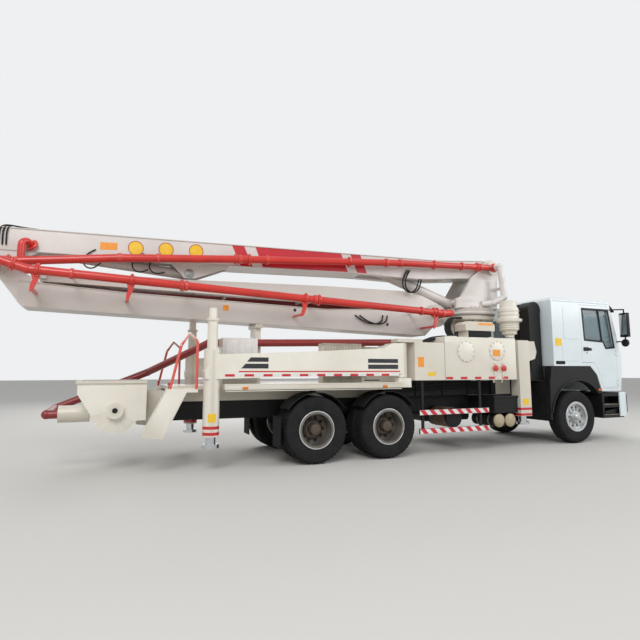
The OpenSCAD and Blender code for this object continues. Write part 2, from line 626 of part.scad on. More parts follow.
module boom_2() color("ivory") on_truck() {
    difference() {
        union() {
            slab(-boom_w2 / 2, boom_w2 / 2) union() {
                polygon([[-5180, 2560], [-5110, 2490], [-1800, 2370], [1430, 2260], [2140, 2240],
                    [2370, 2440], [knee_front[0], knee_front[1] - 200], [knee_front[0], 2880], [2150, 2800],
                    [-80, 2690], [-3740, 2800], [-4560, 2850], [-5180, 2890]]);
                translate(knee_front) circle(r = 240);
            }
            both() slab(boom_w2 / 2 - 50, boom_w2 / 2 - 25) union() {
                polygon([[boom_tail[0] - 140, boom_tail[1]], [-5180, 2570], [-4700, 2800],
                    [boom_tail[0] + 140, boom_tail[1]]]);
                link(boom_tail, cyl_2_eye, 150, 90);
            }
        }
        // Fork round the front knee, and the pocket of the third cylinder
        block(2130, 2800, -188, 188, 2200, 3000);
        slab(-120, 120) polygon([[380, 2400], [380, 2900], [2200, 2900], [2200, 2380]]);
        drum(knee_front[0], knee_front[1], trunnion_r + fit, -boom_w2, boom_w2);
    }
    for (t = [0.08, 0.31, 0.62, 0.93]) clamp(run_2[2], run_2[3], t, 1 - boom_w2 / 2);
    drum(boom_tail[0], boom_tail[1], pin_r2, -boom_w1 / 2 - 20, boom_w1 / 2 + 20);
    drum(cyl_2_eye[0], cyl_2_eye[1], 35, 20 - boom_w2 / 2, boom_w2 / 2 - 20);
    drum(cyl_3_base[0], cyl_3_base[1], 30, -130, 130);
}

module boom_3() color("ivory") on_truck() {
    for (t = [0.15, 0.4, 0.62]) clamp(run_3[2], run_3[3], t, 29);
    difference() {
    union() {
        slab(-180, 30) union() {
            polygon([[-4850, 2910], [-2600, 2870], [-80, 2830], [2100, 2830], [2250, 2700],
                [2450, 2820], [2540, 2930], [2150, 3085], [1700, 3160], [-80, 3150], [-2600, 3090],
                [-4850, 3070]]);
            translate(knee_rear) circle(r = 85);
        }
        // Root hub with its hollow trunnion and the cylinder's lever
        drum(knee_front[0], knee_front[1], 175, -182, 182);
        drum(knee_front[0], knee_front[1], trunnion_r, -270, 270);
        both() slab(50, 80) link(knee_front, cyl_3_eye, 120, 60);
        drum(cyl_3_eye[0], cyl_3_eye[1], 28, -80, 80);
    }
    drum(knee_front[0], knee_front[1], pipe_r + 8, -300, 300);
    drum(knee_rear[0], knee_rear[1], pin_r4 + fit, -300, 300);
    }
}

module boom_4() color("ivory") on_truck() {
    slab(60, 250) union() {
        polygon([[knee_rear[0], knee_rear[1] - 80], [knee_rear[0], knee_rear[1] + 75],
            [-2600, 3085], [1700, 3060], [1860, 2990], [1700, 2920], [-2600, 2890]]);
        translate(knee_rear) circle(r = 90);
    }
    for (t = [0.1, 0.45, 0.85]) clamp(run_4[2], run_4[3], t, 249);
    drum(knee_rear[0], knee_rear[1], pin_r4, -230, 70);
}

module pipe_1() color("firebrick") on_truck() tube_run(run_1, pipe_r);
module pipe_2() color("firebrick") on_truck() tube_run(run_2, pipe_r);
module pipe_3() color("firebrick") on_truck() tube_run(run_3, pipe_r);
module pipe_4() color("firebrick") on_truck() tube_run(run_4, pipe_r);

// A barrel from its pin toward the eye, with the gland end open for the rod
module barrel(base, eye, r, rod_r, pin, w) {
    d = norm(eye - base);
    v = (eye - base) / d;
    difference() {
        union() {
            rod(at_y(base, 0), at_y(base + v * (d - 190), 0), r);
            drum(base[0], base[1], pin + 40, -w, w);
        }
        rod(at_y(base + v * 150, 0), at_y(eye, 0), rod_r + fit);
        drum(base[0], base[1], pin + fit, -w - 1, w + 1);
    }
}
module piston_rod(base, eye, rod_r, pin, w) {
    d = norm(eye - base);
    v = (eye - base) / d;
    difference() {
        union() {
            rod(at_y(base + v * 270, 0), at_y(eye, 0), rod_r);
            drum(eye[0], eye[1], pin + 35, -w, w);
        }
        drum(eye[0], eye[1], pin + 5, -w - 1, w + 1);
    }
}
module cylinder_1_barrel() color("ivory") on_truck() barrel(cyl_1_base, cyl_1_eye, 110, 65, 55, 120);
module cylinder_1_rod() color("silver") on_truck() {
    piston_rod(cyl_1_base, cyl_1_eye, 65, 45, 90);
    // This eye carries its own pin, because it swings clear of the lugs as the boom rises
    drum(cyl_1_eye[0], cyl_1_eye[1], 51, fit - 155, 155 - fit);
}
module cylinder_2_barrel() color("ivory") on_truck() barrel(cyl_2_base, cyl_2_eye, 85, 50, 35, 110);
module cylinder_2_rod() color("silver") on_truck() piston_rod(cyl_2_base, cyl_2_eye, 50, 35, 60);
module cylinder_3_barrel() color("ivory") on_truck() barrel(cyl_3_base, cyl_3_eye, 65, 38, 30, 90);
module cylinder_3_rod() color("silver") on_truck() piston_rod(cyl_3_base, cyl_3_eye, 38, 28, 45);

// A front outrigger: the beam through the housing and the jack's case at its end
module front_beam(s) color("wheat") on_truck() {
    x = front_leg_x[s > 0 ? 1 : 0];
    side(s) difference() {
        union() {
            block(x - beam_w / 2, x + beam_w / 2, -980, half_w - 240, 1740, 1740 + beam_h);
            block(x - 140, x + 140, half_w - 240, half_w - 10, 620, 2120);
            slab(half_w - 240, half_w - 200) polygon([[x + 130, 1650], [x + 490, 1760],
                [x + 540, 1900], [x + 490, 2120], [x + 130, 2120]]);
        }
        translate([x, half_w - 125, 0]) cylinder(h = 1900, r = jack_r + fit);
    }
}
module front_jack(s) color("silver") on_truck() side(s) {
    x = front_leg_x[s > 0 ? 1 : 0];
    translate([x, half_w - 125, 500]) cylinder(h = 1300, r = jack_r);
    translate([x, half_w - 125, 455]) cylinder(h = 55, r = foot_r - 40);
}

// A rear outrigger arm from its hinge to the jack's case
module rear_arm(s) color("wheat") on_truck() side(s) difference() {
    y0 = arm_pivot[1] - arm_w / 2;
    y1 = arm_pivot[1] + arm_w / 2;
    tip = [arm_tip_x, (y0 + y1) / 2];
    union() {
        slab(y0, y1) polygon([[arm_tip_x + 60, 1390], [arm_pivot[0], 1460], [arm_pivot[0], 2000],
            [780, 2000], [590, 1910], [-970, 1820], [arm_tip_x + 60, 1765]]);
        translate([arm_pivot[0], arm_pivot[1], 1392]) cylinder(h = 625, r = arm_w / 2);
        // Slanted housing at the tip, the leg's case and the thinner tube above it
        slab(y0, y1) polygon([[arm_tip_x - 120, 1390], [arm_tip_x - 130, 1510], [arm_tip_x + 20, 1765],
            [arm_tip_x + 120, 1765], [arm_tip_x + 120, 1390]]);
        translate([tip[0], tip[1], 520]) cylinder(h = 1320, r = 125);
        translate([tip[0], tip[1], 1800]) cylinder(h = 500, r = 80);
        translate([tip[0], tip[1], 2290]) cylinder(h = 40, r = 98);
        translate([tip[0], tip[1], 2300]) cylinder(h = 190, r = 66);
    }
    translate([arm_pivot[0], arm_pivot[1], 1300]) cylinder(h = 800, r = arm_pin_r + fit);
    translate([tip[0], tip[1], 500]) cylinder(h = 1290, r = jack_r + fit);
}
module rear_jack(s) color("silver") on_truck() side(s) {
    translate([arm_tip_x, arm_pivot[1], 400]) cylinder(h = 1370, r = jack_r);
    translate([arm_tip_x, arm_pivot[1], 355]) cylinder(h = 55, r = foot_r - 30);
}

module agitator() color("dimgray") on_truck() {
    w = hopper_w / 2;
    drum(shaft_at[0], shaft_at[1], 40, -w - 85, w + 85);
    for (i = [0:3]) for (k = [-1, 1]) translate([shaft_at[0], k * (150 + i * 140), shaft_at[1]])
        rotate([0, i * 45 + (k > 0 ? 90 : 0), 0]) block(-15, 15, -35, 35, -240, 240);
}

module hopper_grate() color("dimgray") on_truck() {
    x0 = hopper_x[0] + hopper_t + gap;
    w = hopper_w / 2 - hopper_t - gap;
    z = grate_z;
    difference() {
        union() {
            for (i = [0:24]) block(x0, grate_pin_x, -w + i * (2 * w - 12) / 24,
                12 - w + i * (2 * w - 12) / 24, z, z + 40);
            for (x = [x0, (x0 + grate_pin_x) / 2]) block(x, x + 16, -w, w, z, z + 40);
            drum(grate_pin_x, z + 20, 18, -w, w);
        }
        both() drum(grate_pin_x, z + 20, 8 + fit, w - 50, w + 1);
    }
}

frame_rails();
deck();
axles();
engine();
side_equipment();
precleaner();
guards();
pedestal();
front_bumper();
hopper();
pump_unit();
deck_pipe();
rear_steps();
knuckle(1);  // knuckle_left
knuckle(-1);  // knuckle_right
tyre_front(1);  // tyre_front_left
tyre_front(-1);  // tyre_front_right
wheel_front(1);  // wheel_front_left
wheel_front(-1);  // wheel_front_right
tyres_twin(rear_xs[0], 1);  // tyres_mid_left
tyres_twin(rear_xs[0], -1);  // tyres_mid_right
wheels_twin(rear_xs[0], 1);  // wheels_mid_left
wheels_twin(rear_xs[0], -1);  // wheels_mid_right
tyres_twin(rear_xs[1], 1);  // tyres_rear_left
tyres_twin(rear_xs[1], -1);  // tyres_rear_right
wheels_twin(rear_xs[1], 1);  // wheels_rear_left
wheels_twin(rear_xs[1], -1);  // wheels_rear_right
cab_shell();
cab_glass();
cab_fittings();
door(1);  // door_left
door(-1);  // door_right
door_glass(1);  // door_glass_left
door_glass(-1);  // door_glass_right
turret();
turret_pipe();
boom_1();
boom_2();
boom_3();
boom_4();
pipe_1();
pipe_2();
pipe_3();
pipe_4();
cylinder_1_barrel();
cylinder_1_rod();
cylinder_2_barrel();
cylinder_2_rod();
cylinder_3_barrel();
cylinder_3_rod();
front_beam(1);  // front_beam_left
front_beam(-1);  // front_beam_right
rear_arm(1);  // rear_arm_left
rear_arm(-1);  // rear_arm_right
front_jack(1);  // front_jack_left
front_jack(-1);  // front_jack_right
rear_jack(1);  // rear_jack_left
rear_jack(-1);  // rear_jack_right
agitator();
hopper_grate();
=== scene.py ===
"""Looks of a truck-mounted concrete pump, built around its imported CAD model.

Lengths are metres in truck coordinates: x = 0 midway between the two rear axles, +X forward to
the cab, +Y to the left and +Z up. Every mesh is shifted by TO_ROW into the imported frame.
"""
import math

import bmesh
import bpy
import numpy as np
from mathutils import Matrix, Vector


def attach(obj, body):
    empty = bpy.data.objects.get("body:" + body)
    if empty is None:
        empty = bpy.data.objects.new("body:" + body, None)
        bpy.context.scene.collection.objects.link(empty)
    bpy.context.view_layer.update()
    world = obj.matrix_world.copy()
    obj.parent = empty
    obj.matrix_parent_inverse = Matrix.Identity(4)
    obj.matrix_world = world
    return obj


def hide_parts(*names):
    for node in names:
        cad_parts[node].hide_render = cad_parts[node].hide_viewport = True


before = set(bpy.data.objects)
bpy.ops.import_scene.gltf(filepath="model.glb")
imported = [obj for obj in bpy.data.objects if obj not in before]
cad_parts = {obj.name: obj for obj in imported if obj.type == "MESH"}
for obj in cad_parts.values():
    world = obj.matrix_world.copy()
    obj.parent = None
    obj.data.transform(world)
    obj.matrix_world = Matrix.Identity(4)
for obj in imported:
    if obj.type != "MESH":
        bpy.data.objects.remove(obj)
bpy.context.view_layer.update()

TO_ROW = np.array([-0.6, 0.0, 0.0])
TAU = 2 * math.pi
SIDES = (("left", 1), ("right", -1))

# Driving sizes, as in the CAD model
FRONT_X = 5.275
REAR_XS = (0.675, -0.675)
TYRE_R, TYRE_W, RIM_R = 0.55, 0.295, 0.305
FRONT_Y, REAR_Y, TWIN = 1.011, 0.915, 0.1725
# Half widths of the boom sections' boxes, the cab, the side tanks and the rear arms
BOOM_1_Y, BOOM_2_Y = 0.28, 0.25
CAB_Y, TANK_Y, ARM_Y = 1.22, 1.24, 1.225
PIPE_R = 0.066
# Upright axes in plan: the slewing column, the pre-cleaner and the outriggers' legs
COLUMN_X = 3.44
PRECLEANER = (3.79, -0.89)
REAR_LEG = (-2.38, 1.105)
FRONT_LEG_X = {"left": 4.03, "right": 3.8}
# Length of a red dash of reflective tape, and the thickness of labels
DASH = 0.15
VINYL = 0.0012


# ---- materials

def linear(hex_colour, alpha=1.0):
    """An sRGB hex colour as linear RGBA."""
    channels = [int(hex_colour[i:i + 2], 16) / 255 for i in (0, 2, 4)]
    low = [c / 12.92 if c <= 0.04045 else ((c + 0.055) / 1.055) ** 2.4 for c in channels]
    return (*low, alpha)


def new_material(name):
    """A node material, its tree and its main shader."""
    mat = bpy.data.materials.new(name)
    mat.use_nodes = True
    return mat, mat.node_tree, mat.node_tree.nodes["Principled BSDF"]


def new_object(name, data):
    """An object of the data, linked into the scene."""
    obj = bpy.data.objects.new(name, data)
    bpy.context.scene.collection.objects.link(obj)
    return obj


def add(tree, kind, settings=None, links=None):
    """A new node with its sockets or properties set and its inputs linked."""
    node = tree.nodes.new(kind)
    for key, value in (settings or {}).items():
        if key in node.inputs:
            node.inputs[key].default_value = value
        else:
            setattr(node, key, value)
    for key, source in (links or {}).items():
        tree.links.new(source, node.inputs[key])
    return node


def coated(name, colour, worn, patch_mm, rough, spread, bump_mm, bump, metallic=0.0, coat=0.0,
           edge=None, specular=0.5):
    """A surface whose colour drifts from `colour` to `worn` in patches of patch_mm.

    Roughness runs over rough +- spread with the same patches. A finer noise of bump_mm gives the
    relief. `edge` is the colour that shows along sharp edges, where handling wears the coat.
    `specular` is under 0.5 where dust dulls the sheen.
    """
    mat, tree, shader = new_material(name)
    place = add(tree, "ShaderNodeTexCoord").outputs["Object"]
    patches = add(tree, "ShaderNodeTexNoise", {"Scale": 1000 / patch_mm, "Detail": 6.0,
                                               "Roughness": 0.62}, {"Vector": place})
    ramp = add(tree, "ShaderNodeMapRange", {"From Min": 0.35, "From Max": 0.75},
               {"Value": patches.outputs["Fac"]})
    mix = add(tree, "ShaderNodeMix", {"data_type": "RGBA"}, {"Factor": ramp.outputs["Result"]})
    mix.inputs[6].default_value = linear(colour)
    mix.inputs[7].default_value = linear(worn)
    tone = mix.outputs[2]
    if edge:
        sharp = add(tree, "ShaderNodeNewGeometry").outputs["Pointiness"]
        rim = add(tree, "ShaderNodeMapRange", {"From Min": 0.53, "From Max": 0.62, "To Max": 0.7},
                  {"Value": sharp})
        blend = add(tree, "ShaderNodeMix", {"data_type": "RGBA"},
                    {"Factor": rim.outputs["Result"]})
        tree.links.new(tone, blend.inputs[6])
        blend.inputs[7].default_value = linear(edge)
        tone = blend.outputs[2]
    tree.links.new(tone, shader.inputs["Base Color"])
    gloss = add(tree, "ShaderNodeMapRange", {"To Min": rough - spread, "To Max": rough + spread},
                {"Value": patches.outputs["Fac"]})
    tree.links.new(gloss.outputs["Result"], shader.inputs["Roughness"])
    grain = add(tree, "ShaderNodeTexNoise", {"Scale": 1000 / bump_mm, "Detail": 3.0},
                {"Vector": place})
    relief = add(tree, "ShaderNodeBump", {"Strength": bump, "Distance": bump_mm / 4000},
                 {"Height": grain.outputs["Fac"]})
    tree.links.new(relief.outputs["Normal"], shader.inputs["Normal"])
    shader.inputs["Metallic"].default_value = metallic
    shader.inputs["Coat Weight"].default_value = coat
    shader.inputs["Coat Roughness"].default_value = 0.12
    shader.inputs["Specular IOR Level"].default_value = specular
    return mat


def window_glass(name, tint, rough):
    """Tempered sheet glass: clear, smooth, with a faint tint."""
    mat, tree, shader = new_material(name)
    shader.inputs["Base Color"].default_value = linear(tint)
    shader.inputs["Transmission Weight"].default_value = 0.85
    shader.inputs["IOR"].default_value = 1.45
    dust = add(tree, "ShaderNodeTexNoise", {"Scale": 9.0, "Detail": 5.0},
               {"Vector": add(tree, "ShaderNodeTexCoord").outputs["Object"]})
    haze = add(tree, "ShaderNodeMapRange", {"To Min": rough, "To Max": rough + 0.1},
               {"Value": dust.outputs["Fac"]})
    tree.links.new(haze.outputs["Result"], shader.inputs["Roughness"])
    return mat


# Two-pack enamel on plate: gloss under a clear coat, with road dust in patches and orange peel
BOOM_WHITE = coated("enamel_boom_white", "D9D3CE", "CAC3BD", 900, 0.34, 0.08, 9, 0.05, coat=0.35,
                    edge="B9AFA4")
CREAM = coated("enamel_cream", "E8E4D8", "DAD4C5", 700, 0.36, 0.08, 9, 0.05, coat=0.3,
               edge="C4BDAE")
CAB_WHITE = coated("enamel_cab_white", "DCE5E7", "CFD9DC", 1200, 0.24, 0.05, 12, 0.02, coat=0.5)
PIPE_RED = coated("enamel_pipe_red", "CF2B20", "B8241B", 420, 0.33, 0.08, 8, 0.06, coat=0.35,
                  edge="E0695C")
# Pipe red darkened as painted shade, for pipe_3, pipe_4 and the deck pipe, which lie in shadow
# between and under the boom sections; their real paint is the same red as pipe_1 and pipe_2, with
# the same drift in patches
PAINTED_SHADE_RED = coated("enamel_shaded_red", "8E2A28", "7A2220", 420, 0.4, 0.08, 8, 0.05, coat=0.2)
# Chassis paint: satin black, greyed by dust
CHASSIS = coated("satin_chassis_black", "0E0F11", "1E1E1E", 260, 0.55, 0.12, 6, 0.18, specular=0.3)
# Moulded ABS with a fine spark-eroded grain, drawn at 2 mm so that it shows
BLACK_ABS = coated("moulded_black_abs", "0D0E10", "17181B", 500, 0.5, 0.08, 2, 0.3, specular=0.3)
# Cured rubber: matt, with pale dust
RUBBER = coated("tyre_rubber", "141416", "252423", 160, 0.8, 0.08, 3, 0.35, specular=0.25)
HOSE_RUBBER = coated("hose_rubber", "0E0F11", "1A1A1D", 120, 0.55, 0.1, 2, 0.3, specular=0.3)
# Silver wheel lacquer over pressed steel
RIM_SILVER = coated("silver_wheel_lacquer", "C9CCCE", "A8A9A8", 180, 0.34, 0.1, 4, 0.08,
                    metallic=0.55)
# The same lacquer under road dust, and sand-cast iron, rust-brown where bare
RIM_DUSTY = coated("dusty_wheel_lacquer", "77726C", "5B554E", 150, 0.6, 0.1, 4, 0.1, metallic=0.3)
CAST_IRON = coated("cast_iron_hub", "4A403B", "61503F", 70, 0.62, 0.12, 3, 0.45, metallic=0.3)
# Rolled and machined steel, grey paint of the pump unit and the cooler
MACHINE_GREY = coated("machine_grey_paint", "7F868B", "6B7074", 240, 0.42, 0.1, 6, 0.08, coat=0.1)
# Hard chrome: near mirror, with a faint oil film
CHROME = coated("hard_chrome", "D2D5D8", "C2C6CA", 90, 0.14, 0.05, 2, 0.02, metallic=1.0)
ZINC = coated("zinc_plated_steel", "A7A9A6", "8E8F88", 40, 0.4, 0.1, 3, 0.15, metallic=0.9)
ALUMINIUM = coated("drawn_aluminium", "B3AA9C", "96897A", 120, 0.38, 0.1, 3, 0.12, metallic=0.8)
# Reflective tape and vinyl labels
TAPE_RED = coated("reflective_tape_red", "C9202E", "B51B28", 60, 0.35, 0.08, 3, 0.12, coat=0.3)
TAPE_WHITE = coated("reflective_tape_white", "E6E6E4", "D0D0CE", 60, 0.35, 0.08, 3, 0.12,
                    coat=0.3)
VINYL_YELLOW = coated("vinyl_yellow", "F0C52A", "E2B31E", 90, 0.4, 0.06, 3, 0.04, coat=0.2)
VINYL_ORANGE = coated("vinyl_orange", "F09A2E", "E08A20", 90, 0.4, 0.06, 3, 0.04, coat=0.2)
# Black vinyl of the louvre stripes; the same black also paints the shade inside the second
# section's lifting holes
BLACK_VINYL_AND_HOLE_SHADE = coated("black_vinyl_and_hole_shade", "1D1F24", "2A2C31", 120, 0.4, 0.06, 3, 0.04, coat=0.2)
LAMP_AMBER = coated("amber_lens", "E2761B", "C96413", 60, 0.18, 0.05, 4, 0.2, coat=0.5)
LAMP_RED = coated("red_lens", "B0211F", "981A19", 60, 0.18, 0.05, 4, 0.2, coat=0.5)
LAMP_CLEAR = coated("clear_lens", "D9DEE2", "C6CDD3", 60, 0.1, 0.05, 6, 0.3, metallic=0.3,
                    coat=0.6)
SILENCER = coated("heat_stained_steel", "8C7A66", "5E4E41", 110, 0.48, 0.12, 5, 0.15, metallic=0.7)
TAN_STEEL = coated("tan_tank_paint", "B5A68A", "9C8C70", 140, 0.45, 0.1, 5, 0.1, coat=0.1)
SMOKED = coated("smoked_acrylic", "16181C", "1D2024", 300, 0.12, 0.04, 20, 0.02, coat=0.6)
WRAPPED = coated("wrapped_white_paint", "E2DEDA", "CFCAC6", 160, 0.28, 0.1, 40, 0.5, coat=0.4)
GLASS = window_glass("tempered_glass", "AEBFC4", 0.02)


# ---- surfaces

def unit(v):
    """The vector, or each row of vectors, at length one."""
    return v / np.linalg.norm(v, axis=-1, keepdims=True)


def turn_angles(count):
    """Evenly spaced angles of one full turn."""
    return np.linspace(0, TAU, count, endpoint=False)


def signed_power(t, e):
    """The size of t raised to e, with t's sign."""
    return np.sign(t) * np.abs(t) ** e


def grid_faces(nu, nv, close_u=False, close_v=False):
    """Quads of an nu by nv grid of points, counted row by row."""
    u = np.arange(nu if close_u else nu - 1)
    v = np.arange(nv if close_v else nv - 1)
    uu, vv = np.meshgrid(u, v, indexing="ij")
    a = uu * nv + vv
    b = ((uu + 1) % nu) * nv + vv
    c = ((uu + 1) % nu) * nv + (vv + 1) % nv
    d = uu * nv + (vv + 1) % nv
    return np.stack([a, b, c, d], -1).reshape(-1, 4).tolist()


def join(*parts):
    """Several (points, faces) as one."""
    points, faces, start = [], [], 0
    for p, f in parts:
        points.append(np.asarray(p, float).reshape(-1, 3))
        faces += [[i + start for i in face] for face in f]
        start += len(points[-1])
    return np.concatenate(points), faces


def bar(x0, x1, y0, y1, z0, z1):
    """The eight corners and six sides of a bar, for the Bevel modifier to round."""
    p = [(x, y, z) for x in (x0, x1) for y in (y0, y1) for z in (z0, z1)]
    f = [[0, 1, 3, 2], [4, 6, 7, 5], [0, 4, 5, 1], [2, 3, 7, 6], [0, 2, 6, 4], [1, 5, 7, 3]]
    return np.array(p), f


def anticlockwise(outline):
    """The outline as an array that runs anticlockwise."""
    p = np.array(outline, float)
    area = np.sum(p[:, 0] * np.roll(p[:, 1], -1) - np.roll(p[:, 0], -1) * p[:, 1])
    return p[::-1] if area < 0 else p


def plate(outline, y0, y1):
    """An outline in x and z, drawn from y0 to y1 and closed at both ends."""
    n = len(outline)
    xz = anticlockwise(outline)
    p = np.concatenate([np.insert(xz, 1, y, axis=1) for y in sorted((y0, y1))])
    f = [[i, (i + 1) % n, n + (i + 1) % n, n + i] for i in range(n)]
    return p, f + [list(range(n)), list(range(2 * n - 1, n - 1, -1))]


def decal(outline, y, thick=VINYL):
    """Tape, a label or a panel on the face at y, `thick` on the side away from the middle."""
    return plate(outline, y, y + math.copysign(thick, y))


def rect(x0, x1, z0, z1):
    """A rectangle's outline."""
    return [(x0, z0), (x1, z0), (x1, z1), (x0, z1)]


def arc(cx, cz, r, a0, a1, steps=16):
    """Points at radius r about (cx, cz), from angle a0 to a1 in degrees."""
    a = np.radians(np.linspace(a0, a1, steps))
    return list(zip(cx + r * np.cos(a), cz + r * np.sin(a)))


def revolve(profile, centre, axis="y", steps=48, closed=False):
    """A profile of (radius, along) turned about an axis through `centre`.

    Each point goes round the axis at its radius, as far along it as the profile says. The
    profile's ends sit on the axis, or the profile closes on itself.
    """
    prof = np.array(profile, float)
    t = turn_angles(steps)
    r, h = prof[:, 0], prof[:, 1]
    c, s = np.outer(np.cos(t), r), np.outer(np.sin(t), r)
    h = np.broadcast_to(h, c.shape)
    order = {"y": (s, h, c), "z": (c, s, h), "x": (h, c, s)}[axis]
    p = np.stack(order, -1) + np.array(centre, float)
    return p.reshape(-1, 3), grid_faces(steps, len(prof), True, closed)


def turned(profile, centre, s, steps):
    """A profile of (radius, outward) turned about a cross axis on side s."""
    return revolve([(r, s * h) for r, h in profile], centre, "y", steps)


def smooth_path(points, steps):
    """A Catmull-Rom curve through the points: each span blends its four neighbours' cubic."""
    p = np.array(points, float)
    p = np.vstack([2 * p[0] - p[1], p, 2 * p[-1] - p[-2]])
    t = np.linspace(0, 1, steps, endpoint=False)[:, None]
    out = []
    for i in range(1, len(p) - 2):
        a, b, c, d = p[i - 1:i + 3]
        out.append(0.5 * (2 * b + (c - a) * t + (2 * a - 5 * b + 4 * c - d) * t ** 2
                          + (3 * b - a - 3 * c + d) * t ** 3))
    return np.vstack(out + [p[-2:-1]])


def capped(rows, k):
    """Faces of `rows` rings of k points each, with a face over both ends."""
    last = (rows - 1) * k
    ends = [list(range(k)), list(range(last + k - 1, last - 1, -1))]
    return grid_faces(rows, k, False, True) + ends


def tube(path, radius, around=12):
    """A round section carried along a path, its frame turned as little as possible.

    Each ring is a circle of the radius in the plane square to the path. The radius is one number,
    or one for each point of the path.
    """
    path = np.array(path, float)
    along = unit(np.gradient(path, axis=0))
    n = unit(np.cross(along[0], [0.12, 0.05, 1.0]))
    frames = []
    for d in along:
        n = unit(n - d * np.dot(n, d))
        frames.append((n, np.cross(d, n)))
    n, b = (np.array([f[k] for f in frames])[:, None] for k in (0, 1))
    t = turn_angles(around)[None, :, None]
    r = np.broadcast_to(np.asarray(radius, float), (len(path),))[:, None, None]
    p = path[:, None] + r * (np.cos(t) * n + np.sin(t) * b)
    return p.reshape(-1, 3), capped(len(path), around)


# The record's material slot of each finish, unless a piece says otherwise
USUAL_SLOT = {BOOM_WHITE: "boom_white", CREAM: "cream", CAB_WHITE: "cab_white", PAINTED_SHADE_RED: "pipe_red",
              PIPE_RED: "pipe_red", BLACK_ABS: "black_plastic", RIM_SILVER: "wheel_silver",
              ZINC: "wheel_silver", RUBBER: "tyre", CHASSIS: "steel_dark",
              CAST_IRON: "machine_grey", TAN_STEEL: "machine_grey", SILENCER: "machine_grey",
              WRAPPED: "machine_grey"}


def piece(name, parts, material, body="chassis", bevel=0.0, smooth=True, slot="usual"):
    """One object from (points, faces) parts, which rides on a body."""
    points, faces = join(*parts)
    mesh = bpy.data.meshes.new(name)
    mesh.from_pydata((points + TO_ROW).tolist(), [], faces)
    mesh.update()
    obj = new_object(name, mesh)
    bm = bmesh.new()
    bm.from_mesh(mesh)
    bmesh.ops.remove_doubles(bm, verts=bm.verts, dist=1e-5)
    bmesh.ops.recalc_face_normals(bm, faces=bm.faces)
    bm.to_mesh(mesh)
    bm.free()
    mesh.materials.append(material)
    if smooth:
        mesh.polygons.foreach_set("use_smooth", [True] * len(mesh.polygons))
        mesh.set_sharp_from_angle(angle=math.radians(35))
    if bevel:
        rounding = obj.modifiers.new("rounded_edges", "BEVEL")
        rounding.width = bevel
        rounding.segments = 2
        rounding.limit_method = "ANGLE"
    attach(obj, body)
    if slot == "usual":
        slot = USUAL_SLOT.get(material)
    return obj


def round_rect(x0, x1, z0, z1, r, steps=6):
    """A rectangle's outline with its corners rounded at radius r."""
    corners = [(x1 - r, z1 - r, 0), (x0 + r, z1 - r, 90), (x0 + r, z0 + r, 180),
               (x1 - r, z0 + r, 270)]
    return [p for cx, cz, a in corners for p in arc(cx, cz, r, a, a + 90, steps)]


def drawn_in(outline, d):
    """An outline moved inward by d, each corner along its mitre."""
    p = anticlockwise(outline)
    side = unit(np.roll(p, -1, 0) - p)
    n = np.stack([-side[:, 1], side[:, 0]], -1)
    before = np.roll(n, 1, 0)
    mitre = (n + before) / (1 + np.sum(n * before, axis=1))[:, None]
    return p + d * mitre


def frame_ring(outline, grow, shrink, y0, y1, place=None):
    """A frame about an outline, from `grow` outside it to `shrink` inside it.

    `place` turns (u, v, depth) into a point; without it they are x, z and y.
    """
    place = place or (lambda u, v, w: (u, w, v))
    outer, inner = drawn_in(outline, -grow), drawn_in(outline, shrink)
    loops = [(outer, y0), (outer, y1), (inner, y1), (inner, y0)]
    p = np.array([[place(*loop[i], y) for loop, y in loops] for i in range(len(outer))])
    return p.reshape(-1, 3), grid_faces(len(outer), 4, True, True)


def sweep(path, profile):
    """A closed profile of (outward, z) carried along an open path in plan."""
    path = np.array(path, float)
    d = unit(np.gradient(path, axis=0))
    n = np.stack([d[:, 1], -d[:, 0]], -1)
    prof = np.array(profile, float)
    xy = path[:, None] + prof[None, :, :1] * n[:, None]
    z = np.broadcast_to(prof[None, :, 1:], (len(path), len(prof), 1))
    return np.concatenate([xy, z], -1).reshape(-1, 3), capped(len(path), len(prof))


def box_with(x0, x1, y0, y1, z0, z1, s):
    """A bar on side s, given by distances from the middle plane."""
    y0, y1 = sorted((s * y0, s * y1))
    return bar(x0, x1, y0, y1, z0, z1)


def spaced(curve, count):
    """The curve's points, spread evenly along it."""
    run = np.concatenate([[0], np.cumsum(np.linalg.norm(np.diff(curve, axis=0), axis=1))])
    at = np.linspace(0, run[-1], count)
    return np.stack([np.interp(at, run, curve[:, k]) for k in range(3)], -1)


def hose(name, points, diameter, body, relax=24):
    """A hydraulic hose near the points, as a free cord whose both ends sit in fittings.

    Each pass moves a point half way to the middle of its neighbours, as stiff rubber rounds a bend.
    """
    path = spaced(smooth_path(points, 12), 32)
    for _ in range(relax):
        path[1:-1] = 0.5 * path[1:-1] + 0.25 * (path[:-2] + path[2:])
    path = spaced(path, 32)
    obj = piece(name, [tube(path, diameter / 2, 12)], HOSE_RUBBER, body)


# ---- finishes of the CAD nodes

# A star stands for left and right
NODE_FINISH = {
    CHASSIS: "guards frame_rails axles side_equipment front_bumper knuckle_* agitator hopper_grate",
    CREAM: "deck pedestal precleaner hopper rear_steps front_beam_* rear_arm_*",
    BOOM_WHITE: "turret boom_1 boom_2 boom_3 boom_4 cylinder_1_barrel cylinder_2_barrel"
                " cylinder_3_barrel",
    PIPE_RED: "pipe_1 pipe_2",
    WRAPPED: "turret_pipe",
    # These pipes take the pipe red darkened as painted shade
    PAINTED_SHADE_RED: "pipe_3 pipe_4 deck_pipe",
    CAB_WHITE: "cab_shell door_*",
    BLACK_ABS: "cab_fittings",
    MACHINE_GREY: "engine pump_unit",
    RIM_SILVER: "wheel_front_*",
    RIM_DUSTY: "wheels_mid_* wheels_rear_*",
    CHROME: "cylinder_1_rod cylinder_2_rod cylinder_3_rod front_jack_* rear_jack_*",
    GLASS: "cab_glass door_glass_*",
}
